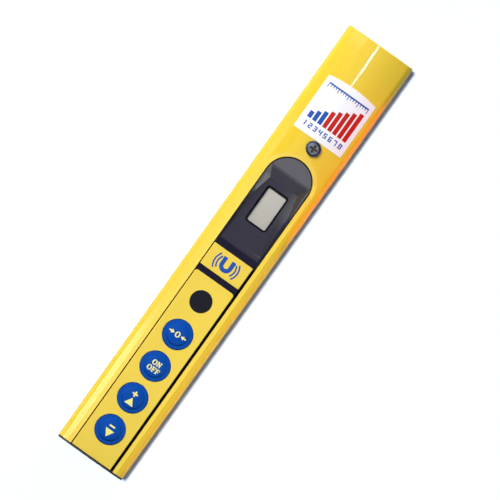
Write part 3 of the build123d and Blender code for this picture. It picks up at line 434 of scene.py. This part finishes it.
def screw_head():
    """Plated pan head: painted dark reflection on the rounded rim, a greyer top, and painted shadow in the
    cross.
    """
    brushing = (1, 6, 1)
    flat_top = 2.55
    rim_start = 3.05
    cross_reach = 2.6
    cross_blur = 0.1
    cross_depth = 0.45
    cross_edge = 0.25
    look = Look("screw_head", metal=1.0)
    top = top_middle("deck_screw")
    from_axis = look.radius(top)
    rim = look.remap(from_axis, flat_top * MM, rim_start * MM)
    sunk = look.remap(look.along((0, 0, 1), top), -cross_edge * MM, -cross_depth * MM)
    near = look.remap(from_axis, cross_reach * MM, (cross_reach - cross_blur) * MM)
    cross = look.product(near, sunk)
    streaks = look.noise(size=0.5, detail=3.0, stretch=brushing)
    brushed = look.mix(streaks, (0.075, 0.085, 0.12), (0.19, 0.19, 0.22))
    # Painted reflection: the rounded rim is painted dark blue
    with_painted_rim = look.mix(rim, brushed, (0.045, 0.06, 0.12))
    look.bump(look.noise(size=0.4, detail=3.0, stretch=brushing), strength=0.25, depth=0.03)
    # Painted shadow: the cross recess is painted dark
    return look.paint(look.mix(cross, with_painted_rim, (0.05, 0.042, 0.04)), look.uneven(size=0.8, low=0.3, high=0.45))


def cell_sleeve():
    """Printed sleeve with a metallic band and bare ends, the same on each cell."""
    cells_in_row = 2
    band_start = 0.70
    band_end = 0.955
    bare_end = 0.015
    blur = 0.005
    look = Look("cell_metal")
    low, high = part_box("battery_cells")
    pitch = (high.x - low.x) / cells_in_row
    run = look.math("FRACT", look.math("DIVIDE", look.along((1, 0, 0), low), pitch))
    band = look.product(look.remap(run, band_start, band_start + blur),
                        look.remap(run, band_end, band_end - blur))
    bare = look.larger(look.remap(run, bare_end + blur, bare_end),
                       look.remap(run, band_end, band_end + blur))
    sleeve = look.mix(look.noise(size=6.0), (0.016, 0.017, 0.02), (0.024, 0.025, 0.03))
    look.put(look.shader.inputs["Metallic"], look.larger(bare, look.product(band, 0.8)))
    look.bump(look.noise(size=0.6), strength=0.08, depth=0.02)
    return look.paint(look.mix(bare, look.mix(band, sleeve, (0.55, 0.33, 0.12)), (0.6, 0.6, 0.6)),
                      look.uneven(size=2.0, low=0.22, high=0.36))


# The display lies in a tilted plane. Its own sizes are in mm.
ACROSS = Vector((0, 1, 0))
LCD_SHIFT = 0.15
LCD_HALF_LENGTH = 10.5
LCD_HALF_WIDTH = 5.8
LCD_CORNER = 0.9
LCD_BLUR = 0.12
LCD_LIGHT_FADE = 10.0
window_face = max(nodes["display_window"].data.polygons, key=lambda face: face.area * face.normal.z)
display_up = window_face.normal.normalized()
display_forward = ACROSS.cross(display_up)
display_middle = middle("display_window")
lcd_middle = display_middle - ACROSS * LCD_SHIFT * MM


def clear_window():
    look = Look("window_clear")
    look.put(look.shader.inputs["Alpha"], look.uneven(size=5.0, low=0.03, high=0.036))
    look.bump(look.noise(size=7.0), strength=0.02, depth=0.01)
    return look.paint(look.mix(look.noise(size=9.0), (0.2, 0.2, 0.2), (0.24, 0.24, 0.24)),
                      look.uneven(size=4.0, low=0.05, high=0.09))


def display_face():
    """Blank grey display with rounded corners inside a dark border, with painted light that makes it paler
    towards the front.
    """
    look = Look("display_grey", level=0.1)
    length = look.along(display_forward, lcd_middle)
    width = look.along(ACROSS, lcd_middle)
    corner = look.diagonal(look.beyond(look.math("ABSOLUTE", length), (LCD_HALF_LENGTH - LCD_CORNER) * MM),
                           look.beyond(look.math("ABSOLUTE", width), (LCD_HALF_WIDTH - LCD_CORNER) * MM))
    inside = look.remap(corner, LCD_CORNER * MM, (LCD_CORNER - LCD_BLUR) * MM)
    # Painted light: the display is paler towards the front
    painted_light_slope = look.remap(length, -LCD_LIGHT_FADE * MM, LCD_LIGHT_FADE * MM)
    grey = look.mix(painted_light_slope, (0.50, 0.475, 0.42), (0.585, 0.56, 0.50))
    grain = look.mix(look.product(look.noise(size=1.5), 0.3), grey, (0.54, 0.515, 0.46))
    look.bump(look.noise(size=1.5), strength=0.02, depth=0.01)
    return look.paint(look.mix(inside, (0.006, 0.006, 0.010), grain),
                      look.uneven(size=2.0, low=0.35, high=0.45))


looks["yellow_coat"] = yellow_coat()
looks["deck_black"] = deck_black()
looks["mesh_black"] = woven_mesh()
looks["board_green"] = circuit_board()
looks["ribbon"] = ribbon_cable()
looks["winding_copper"] = wound_wire()
looks["brass"] = turned_brass()
looks["cell_metal"] = cell_sleeve()
looks["window_clear"] = clear_window()
looks["display_grey"] = display_face()

for part in frame["record"]["subparts"]:
    mesh = nodes[part["node"]].data
    mesh.materials.clear()
    mesh.materials.append(looks[part["material_slot"]])
nodes["deck_screw"].data.materials[0] = screw_head()

# A shrunk pane keeps its lower face off the display's upper one
PANE_CLEARANCE = 0.03
clearance = nodes["display_window"].modifiers.new("clearance", "DISPLACE")
clearance.strength = -PANE_CLEARANCE * MM
clearance.mid_level = 0.0

# Each rubber dome becomes a piece of its own, held by the housing, and the imported one is hidden
for key in ("gain_down", "gain_up", "power", "zero"):
    rigid = nodes[key + "_dome"]
    dome = bpy.data.objects.new(key + "_soft_dome", rigid.data.copy())
    scene.collection.objects.link(dome)
    dome.matrix_world = rigid.matrix_world
    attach(dome, "housing")
    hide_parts(rigid.name)
    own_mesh(dome)


# Prints: thin films of ink that follow the surface they lie on. Loops are in mm, with u to
# the right of the keys and v towards the front.
INK_THICKNESS = 0.03
INK_PITCH = 0.6
GAP_PITCH = 3.0
LINE_PITCH = 0.15
JOIN_DISTANCE = 0.001
RAY_HEIGHT = 1000.0


def arc(radius, start, end, count):
    """Points on a circle about the origin between two angles in degrees, both ends with them."""
    turns = [math.radians(start + (end - start) * step / count) for step in range(count + 1)]
    return [(radius * math.cos(turn), radius * math.sin(turn)) for turn in turns]


def moved(loop, u, v):
    return [(x + u, y + v) for x, y in loop]


def ellipse(u, v, across, along, count=48):
    circle = arc(1.0, 0, 360, count)[:-1]
    return [(u + across * x, v + along * y) for x, y in circle]


def rectangle(u, v, width, height):
    return [(u - width / 2, v - height / 2), (u + width / 2, v - height / 2),
            (u + width / 2, v + height / 2), (u - width / 2, v + height / 2)]


def rounded(width, height, radius, count=6):
    """A rectangle with round corners about the origin."""
    points = []
    for quarter, (u, v) in enumerate(((1, 1), (-1, 1), (-1, -1), (1, -1))):
        corner = arc(radius, 90 * quarter, 90 * (quarter + 1), count)
        points += moved(corner, u * (width / 2 - radius), v * (height / 2 - radius))
    return points


def ring_piece(radius, width, start, end, count=16):
    """Part of a ring between two angles in degrees."""
    return arc(radius + width / 2, start, end, count) + arc(radius - width / 2, end, start, count)


def filled(name, loops, origin):
    """A level sheet in the shape of the loops."""
    curve = bpy.data.curves.new(name, "CURVE")
    curve.dimensions = "2D"
    curve.fill_mode = "BOTH"
    for loop in loops:
        spline = curve.splines.new("POLY")
        spline.points.add(len(loop) - 1)
        for point, (u, v) in zip(spline.points, loop):
            point.co = (origin.x + v * MM, origin.y - u * MM, 0, 1)
        spline.use_cyclic_u = True
    outline = bpy.data.objects.new(name + "_outline", curve)
    scene.collection.objects.link(outline)
    bpy.context.view_layer.update()
    flat = bpy.data.meshes.new_from_object(outline.evaluated_get(bpy.context.evaluated_depsgraph_get()))
    bpy.data.objects.remove(outline)
    sheet = bmesh.new()
    sheet.from_mesh(flat)
    bpy.data.meshes.remove(flat)
    bmesh.ops.remove_doubles(sheet, verts=sheet.verts, dist=JOIN_DISTANCE * MM)
    return sheet


def divide(sheet, pitch):
    """Cuts a sheet into small faces, so that it can bend."""
    for axis in (0, 1):
        low = min(vertex.co[axis] for vertex in sheet.verts)
        high = max(vertex.co[axis] for vertex in sheet.verts)
        normal = Vector((1, 0, 0)) if axis == 0 else Vector((0, 1, 0))
        for step in range(1, int((high - low) / (pitch * MM)) + 1):
            bmesh.ops.bisect_plane(sheet, geom=sheet.verts[:] + sheet.edges[:] + sheet.faces[:],
                                   plane_co=normal * (low + step * pitch * MM), plane_no=normal)
    bmesh.ops.triangulate(sheet, faces=sheet.faces[:])


def drape(sheet, node):
    """Lays a sheet on top of a node and thickens it."""
    mesh = nodes[node].data
    tree = BVHTree.FromPolygons([vertex.co.copy() for vertex in mesh.vertices],
                                [tuple(face.vertices) for face in mesh.polygons])
    for vertex in sheet.verts:
        hit = tree.ray_cast(Vector((vertex.co.x, vertex.co.y, RAY_HEIGHT * MM)), Vector((0, 0, -1)))
        vertex.co.z = hit[0].z + INK_THICKNESS * MM / 2
    bmesh.ops.recalc_face_normals(sheet, faces=sheet.faces[:])
    if sum(face.normal.z for face in sheet.faces) < 0:
        bmesh.ops.reverse_faces(sheet, faces=sheet.faces[:])
    bmesh.ops.solidify(sheet, geom=sheet.faces[:], thickness=INK_THICKNESS * MM)
    bmesh.ops.recalc_face_normals(sheet, faces=sheet.faces[:])


def film(name, loops, origin, node, body, material, pitch=INK_PITCH):
    """Ink in the shape of the loops on top of a node."""
    sheet = filled(name, loops, origin)
    divide(sheet, pitch)
    drape(sheet, node)
    mesh = bpy.data.meshes.new(name)
    sheet.to_mesh(mesh)
    sheet.free()
    mesh.materials.append(looks[material])
    piece = bpy.data.objects.new(name, mesh)
    scene.collection.objects.link(piece)
    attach(piece, body)


def legend(key, loops):
    film(key + "_legend", loops, top_middle(key + "_key"), key + "_key", key + "_button", "legend_ink")


# Words and signs on the keys
LETTER_N = [(0, 0), (1.15, 0), (1.15, 0.4), (0.8, 0.4), (0.8, 1.9), (2.0, 0), (2.4, 0), (2.4, 2.6),
            (2.75, 2.6), (2.75, 3.0), (1.6, 3.0), (1.6, 2.6), (1.95, 2.6), (1.95, 1.25), (0.85, 3.0),
            (0, 3.0), (0, 2.6), (0.35, 2.6), (0.35, 0.4), (0, 0.4)]
LETTER_F = [(0, 0), (1.4, 0), (1.4, 0.4), (1.05, 0.4), (1.05, 1.3), (1.55, 1.3), (1.55, 1.0), (1.85, 1.0),
            (1.85, 2.0), (1.55, 2.0), (1.55, 1.7), (1.05, 1.7), (1.05, 2.55), (1.9, 2.55), (1.95, 2.1),
            (2.3, 2.1), (2.3, 3.0), (0, 3.0), (0, 2.6), (0.35, 2.6), (0.35, 0.4), (0, 0.4)]
LETTER_O = [ellipse(1.375, 1.5, across=1.375, along=1.55), ellipse(1.375, 1.5, across=0.62, along=1.15)]
ON_FOOT = 0.25
OFF_FOOT = -3.55
on_off = [moved(loop, u=-2.8, v=ON_FOOT) for loop in LETTER_O] + [moved(LETTER_N, u=0.05, v=ON_FOOT)]
on_off += [moved(loop, u=-3.75, v=OFF_FOOT) for loop in LETTER_O]
on_off += [moved(LETTER_F, u=-0.9, v=OFF_FOOT), moved(LETTER_F, u=1.5, v=OFF_FOOT)]
legend("power", on_off)

ARROW_TAIL = 5.4
ARROW_NECK = 3.9
ARROW_TIP = 2.1
ARROW_HALF = 1.25
SHAFT_HALF = 0.4
ARROW = [(ARROW_TAIL, -SHAFT_HALF), (ARROW_TAIL, SHAFT_HALF), (ARROW_NECK, SHAFT_HALF),
         (ARROW_NECK, ARROW_HALF), (ARROW_TIP, 0), (ARROW_NECK, -ARROW_HALF), (ARROW_NECK, -SHAFT_HALF)]
zero = [ellipse(0, 0, across=1.45, along=1.75), ellipse(0, 0, across=0.65, along=1.25)]
zero += [[(side * u, v) for u, v in ARROW] for side in (-1, 1)]
legend("zero", zero)

PLUS_MIDDLE = 2.5
PLUS_REACH = 1.6
PLUS_HALF = 0.45
PLUS_CORNER = [(PLUS_HALF, PLUS_HALF), (PLUS_HALF, PLUS_REACH), (-PLUS_HALF, PLUS_REACH)]
MINUS = rectangle(0, 2.1, width=3.4, height=0.95)
UP_TRIANGLE = [(-2.7, -4.3), (2.7, -4.3), (0, 0.1)]
DOWN_TRIANGLE = [(-2.7, 0), (2.7, 0), (0, -4.5)]
plus = []
corner = PLUS_CORNER
for quarter in range(4):
    plus += corner
    corner = [(-v, u) for u, v in corner]
legend("gain_up", [moved(plus, u=0, v=PLUS_MIDDLE), UP_TRIANGLE])
legend("gain_down", [MINUS, DOWN_TRIANGLE])

# Plain magnet sign on the trim plate, with waves to both sides
MAGNET_OUTER = 3.9
MAGNET_INNER = 1.5
MAGNET_TOP = 4.2
BEND_STEPS = 24
WAVE_RADII = (5.6, 7.4)
WAVE_WIDTH = 0.9
WAVE_HALF_TURN = 38
SIGN_SHIFT = -0.3
magnet = [(MAGNET_OUTER, MAGNET_TOP)] + arc(MAGNET_OUTER, 0, -180, BEND_STEPS)
magnet += [(-MAGNET_OUTER, MAGNET_TOP), (-MAGNET_INNER, MAGNET_TOP)]
magnet += arc(MAGNET_INNER, -180, 0, BEND_STEPS) + [(MAGNET_INNER, MAGNET_TOP)]
waves = [ring_piece(radius, WAVE_WIDTH, turn - WAVE_HALF_TURN, turn + WAVE_HALF_TURN)
         for radius in WAVE_RADII for turn in (0, 180)]
film("trim_sign", [moved(loop, 0, SIGN_SHIFT) for loop in [magnet] + waves], top_middle("trim_plate"),
     "trim_plate", "housing", "print_blue")

# Painted shade: black strips over the deck in the gaps beside the plates
GAP_WIDTH = 1.3
GAP_SHORTENED = 1.0
plates_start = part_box("keypad_plate")[0].x
plates_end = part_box("trim_plate")[1].x
plates_middle = Vector(((plates_start + plates_end) / 2, SLOT_MIDDLE_Y * MM, 0))
gap_length = (plates_end - plates_start) / MM - GAP_SHORTENED
film("plate_gap_shade", [rectangle(side * SURROUND_HALF, 0, GAP_WIDTH, gap_length) for side in (-1, 1)],
     plates_middle, "control_deck", "housing", "line_black", GAP_PITCH)

# Painted shade: a black line around the display's window. Width, length and corner of its two edges
LINE_OUTER = (13.9, 23.3, 1.9)
LINE_INNER = (12.54, 21.98, 1.27)
LINE_HEIGHT = 1.2
film("display_shade_line", [rounded(*LINE_OUTER), rounded(*LINE_INNER)],
     display_middle + display_up * LINE_HEIGHT * MM, "control_deck", "housing", "line_black",
     LINE_PITCH)

# Digits one to eight as outlines on a grid, with letters across and figures upwards. The middle stroke
# of the three starts at b, and d and e are the sides of the one.
DIGIT_WIDTH = 2.0
DIGIT_HEIGHT = 3.0
STROKE = 0.62
MIDDLE_STROKE_LOW = 1.225
MIDDLE_STROKE_HIGH = 1.775
COLUMNS = {"a": 0.0, "b": 0.4, "c": STROKE, "d": 0.65, "e": 1.35, "f": DIGIT_WIDTH - STROKE, "g": DIGIT_WIDTH}
ROWS = (0.0, STROKE, MIDDLE_STROKE_LOW, MIDDLE_STROKE_HIGH, DIGIT_HEIGHT - STROKE, DIGIT_HEIGHT)
DIGITS = [
    ["d0 e0 e5 d5"],
    ["a0 g0 g1 c1 c2 g2 g5 a5 a4 f4 f3 a3"],
    ["a0 g0 g5 a5 a4 f4 f3 b3 b2 f2 f1 a1"],
    ["f0 g0 g5 f5 f3 c3 c5 a5 a2 f2"],
    ["g5 a5 a2 f2 f1 a1 a0 g0 g3 c3 c4 g4"],
    ["g5 a5 a0 g0 g3 c3 c4 g4", "c1 f1 f2 c2"],
    ["f0 g0 g5 a5 a4 f4"],
    ["a0 g0 g5 a5", "c1 f1 f2 c2", "c3 f3 f4 c4"],
]


def digit(outlines, u, v):
    return [[(u + COLUMNS[place[0]], v + ROWS[int(place[1])]) for place in outline.split()]
            for outline in outlines]


# Label print: a plain level scale with eight steps
PRINT_SHIFT = 0.7
SCALE_LEFT = -12.9
SCALE_RIGHT = 13.1
SCALE_BOTTOM = 13.0
SCALE_TOP = 13.9
TICKS = 17
TICK_PITCH = 1.6
TICK_WIDTH = 0.45
LONG_TICK = 2.2
SHORT_TICK = 1.2
LONG_TICK_EVERY = 4
FIRST_BAR = -11.35
BAR_PITCH = 3.3
BAR_WIDTH = 2.5
BAR_FOOT = -8.6
SHORTEST_BAR = 4.0
BAR_GROWTH = 2.0
BLUE_BARS = 3
DIGIT_FOOT = -13.4
label_origin = top_middle("label")
label_origin.x -= PRINT_SHIFT * MM
comb = [(SCALE_RIGHT, SCALE_TOP), (SCALE_LEFT, SCALE_TOP)]
for tick in range(TICKS):
    left = SCALE_LEFT + TICK_PITCH * tick
    right = left + TICK_WIDTH
    foot = SCALE_BOTTOM - (SHORT_TICK if tick % LONG_TICK_EVERY else LONG_TICK)
    if tick:
        comb.append((left, SCALE_BOTTOM))
    comb += [(left, foot), (right, foot), (right, SCALE_BOTTOM)]
blue_print = [comb]
red_print = []
for step, outlines in enumerate(DIGITS):
    u = FIRST_BAR + BAR_PITCH * step
    height = SHORTEST_BAR + BAR_GROWTH * step
    ink = blue_print if step < BLUE_BARS else red_print
    ink.append(rectangle(u, BAR_FOOT + height / 2, BAR_WIDTH, height))
    blue_print += digit(outlines, u - DIGIT_WIDTH / 2, DIGIT_FOOT)
film("label_print_blue", blue_print, label_origin, "label", "housing", "print_blue")
film("label_print_red", red_print, label_origin, "label", "housing", "print_red")


# Stage: pale floor, pale surroundings, soft light. From here on sizes are in metres.
FLOOR_HALF = 40.0
FLOOR_DROP = 0.0002
FLOOR_COLOUR = (0.54, 0.60, 0.70, 1)
FLOOR_ROUGHNESS = 0.9
SKY_COLOUR = (0.82, 0.93, 1.12, 1)
SKY_RIGHT = 0.12
SKY_LEFT = 0.2
FAR = 1.5
NEAR = 1.2
STEEP = 0.9

floor_mesh = bpy.data.meshes.new("floor")
floor_mesh.from_pydata([(*corner, 0) for corner in rectangle(0, 0, 2 * FLOOR_HALF, 2 * FLOOR_HALF)], [],
                       [(0, 1, 2, 3)])
floor = bpy.data.objects.new("floor", floor_mesh)
floor.location.z = -FLOOR_DROP
scene.collection.objects.link(floor)
ground = bpy.data.materials.new("floor_white")
ground.use_nodes = True
ground_shader = ground.node_tree.nodes["Principled BSDF"]
ground_shader.inputs["Base Color"].default_value = FLOOR_COLOUR
ground_shader.inputs["Roughness"].default_value = FLOOR_ROUGHNESS
ground_shader.inputs["Specular IOR Level"].default_value = 0.0
floor_mesh.materials.append(ground)

# The surroundings are brighter to the left of the keys than to the right
world = bpy.data.worlds.new("world")
scene.world = world
world.use_nodes = True
sky = world.node_tree
back = sky.nodes["Background"]
back.inputs["Color"].default_value = SKY_COLOUR
direction = sky.nodes.new("ShaderNodeTexCoord")
parts = sky.nodes.new("ShaderNodeSeparateXYZ")
level = sky.nodes.new("ShaderNodeMapRange")
level.inputs["From Min"].default_value = -1.0
level.inputs["From Max"].default_value = 1.0
level.inputs["To Min"].default_value = SKY_RIGHT
level.inputs["To Max"].default_value = SKY_LEFT
sky.links.new(direction.outputs["Generated"], parts.inputs["Vector"])
sky.links.new(parts.outputs["Y"], level.inputs["Value"])
sky.links.new(level.outputs["Result"], back.inputs["Strength"])


def receivers_of_light(name, receiver):
    collection = bpy.data.collections.new(name)
    collection.objects.link(receiver)
    return collection


floor_only = receivers_of_light("floor_only", floor)
deck_only = receivers_of_light("deck_only", nodes["control_deck"])
tube_only = receivers_of_light("tube_only", nodes["housing_tube"])
object_only = receivers_of_light("object_only", floor)
object_only.collection_objects[0].light_linking.link_state = "EXCLUDE"


def lamp(name, at, towards, size, power, colour=(1, 1, 1), spread=180, receivers=object_only):
    """Soft rectangular lamp, its first side along the tube."""
    data = bpy.data.lights.new(name, "AREA")
    data.shape = "RECTANGLE"
    data.size = size[0]
    data.size_y = size[1]
    data.energy = power
    data.color = colour
    data.spread = math.radians(spread)
    holder = bpy.data.objects.new(name, data)
    normal = (Vector(at) - Vector(towards)).normalized()
    along = Vector((1, 0, 0)) if abs(normal.x) < STEEP else Vector((0, 1, 0))
    side = (along - normal * along.dot(normal)).normalized()
    turn = Matrix((side, normal.cross(side), normal)).transposed().to_4x4()
    holder.matrix_world = Matrix.Translation(at) @ turn
    scene.collection.objects.link(holder)
    holder.visible_camera = False
    holder.light_linking.receiver_collection = receivers
    return holder


def card(name, **settings):
    """A lamp that shows as a reflection only."""
    lamp(name, **settings).visible_diffuse = False


def side_card(name, angle, distance, x, height, **settings):
    """A card at an angle from straight above towards the left of the keys, facing the tube's middle line."""
    turn = math.radians(angle)
    at = (x, math.sin(turn) * distance, math.cos(turn) * distance)
    card(name, at=at, towards=(x, 0, height), **settings)


# Lamps on the object
lamp("key_lamp", at=(0.5, 0.68, 0.97), towards=(0, 0, 0.02), size=(0.7, 0.7), power=18.5)
lamp("right_fill", at=(-0.065, -0.15, 0.105), towards=(-0.065, -0.02, 0.03), size=(0.16, 0.1), power=0.026,
     colour=(0.95, 1.0, 0.6), spread=90)
lamp("right_warm_rear", at=(-0.06, -0.12, 0.037), towards=(-0.06, -0.02, 0.036), size=(0.15, 0.012),
     power=0.0028, colour=(1.0, 0.25, 0.0), spread=24)
lamp("right_warm_front", at=(0.068, -0.1, 0.037), towards=(0.068, -0.02, 0.036), size=(0.09, 0.012),
     power=0.0040, colour=(1.0, 0.04, 0.0), spread=24)
lamp("facet_lamp", at=(0.04, -0.2, 0.13), towards=(0.042, 0.0, 0.033), size=(0.06, 0.06), power=0.075,
     spread=60, receivers=deck_only)

# Cards that the front half reflects
side_card("front_card", angle=4, distance=FAR, x=0.485, height=0, size=(0.57, 1.0), power=1.35)
side_card("nose_card", angle=4, distance=FAR, x=0.135, height=0.03, size=(0.14, 1.0), power=0.55,
          receivers=tube_only)
side_card("nose_right_card", angle=-27, distance=FAR, x=0.135, height=0.03, size=(0.14, 0.75), power=0.25)
side_card("crown_line_card", angle=2.4, distance=FAR, x=0.158, height=0.036, size=(0.06, 0.007), power=0.36,
          colour=(0.85, 0.9, 1.0))

# Cards that the display recess reflects
side_card("shelf_card", angle=-1.1, distance=FAR, x=0.07, height=0, size=(0.055, 0.1), power=0.055)
card("floor_glint_card", at=(0.398, -0.047, 1.5), towards=(0.398, -0.047, 0), size=(0.028, 0.016),
     power=0.0045)
card("lip_card", at=(-0.776, -0.02, 0.905), towards=(0.05, 0, 0.035), size=(1.14, 0.12), power=0.8)
card("arch_card", at=(-0.225, -0.02, 1.2), towards=(0.055, 0, 0.036), size=(0.2, 0.75), power=2.0,
     colour=(1.0, 1.0, 0.8))
card("end_wall_card", at=(-1.2, -0.03, 0.33), towards=(0.048, 0, 0.033), size=(0.3, 0.5), power=0.46)

# Cards that the two rails reflect
side_card("left_rear_card", angle=52, distance=NEAR, x=-0.127, height=0.02, size=(0.1, 0.7), power=3.5,
          colour=(1.0, 1.0, 0.7))
side_card("left_front_card", angle=52, distance=NEAR, x=0.01, height=0.02, size=(0.18, 0.7), power=1.45,
          colour=(1.0, 1.0, 0.75))
side_card("left_rear_lip_card", angle=17.5, distance=NEAR, x=-0.127, height=0.02, size=(0.1, 0.12),
          power=0.31, colour=(1.0, 1.0, 0.6))
side_card("left_front_lip_card", angle=17.5, distance=NEAR, x=-0.012, height=0.02, size=(0.14, 0.12),
          power=0.36, colour=(1.0, 1.0, 0.6))
side_card("right_lip_card", angle=-22.3, distance=NEAR, x=-0.06, height=0.02, size=(0.24, 0.12), power=0.7,
          colour=(1.0, 1.0, 0.42))

# Light on the floor, with a weak blue lamp that keeps the shadow neutral
SUN_STRENGTH = 5.4
SUN_ANGLE = math.radians(4.0)
SUN_TILT = math.radians(-5.8)
lamp("shadow_lamp", at=(0, -0.4, 0.6), towards=(0, -0.03, 0), size=(0.4, 0.1), power=0.75,
     colour=(0.0, 0.12, 1.0), receivers=floor_only)
sun_data = bpy.data.lights.new("floor_sun", "SUN")
sun_data.energy = SUN_STRENGTH
sun_data.angle = SUN_ANGLE
sun = bpy.data.objects.new("floor_sun", sun_data)
sun.rotation_euler = (SUN_TILT, 0, 0)
scene.collection.objects.link(sun)
sun.light_linking.receiver_collection = floor_only

# Camera: almost straight down, turned so that the front of the tube points up and right
LENS = 600.0
SENSOR = 36.0
FRAME_WIDTH = 0.27247
LEAN = math.radians(1.1)
LOOK_AT = Vector((0.00573, -0.00575, 0.019))
PICTURE_UP = Vector((0.8151, 0.5794, 0))
CLIP_START = 0.1
CLIP_END = 200.0
camera_data = bpy.data.cameras.new("camera")
camera_data.lens = LENS
camera_data.sensor_width = SENSOR
camera_data.clip_start = CLIP_START
camera_data.clip_end = CLIP_END
camera = bpy.data.objects.new("camera", camera_data)
backward = Vector((0, math.sin(LEAN), math.cos(LEAN)))
upward = (PICTURE_UP - backward * PICTURE_UP.dot(backward)).normalized()
camera_turn = Matrix((upward.cross(backward), upward, backward)).transposed().to_4x4()
camera.matrix_world = Matrix.Translation(LOOK_AT + backward * FRAME_WIDTH * LENS / SENSOR) @ camera_turn
scene.collection.objects.link(camera)
scene.camera = camera
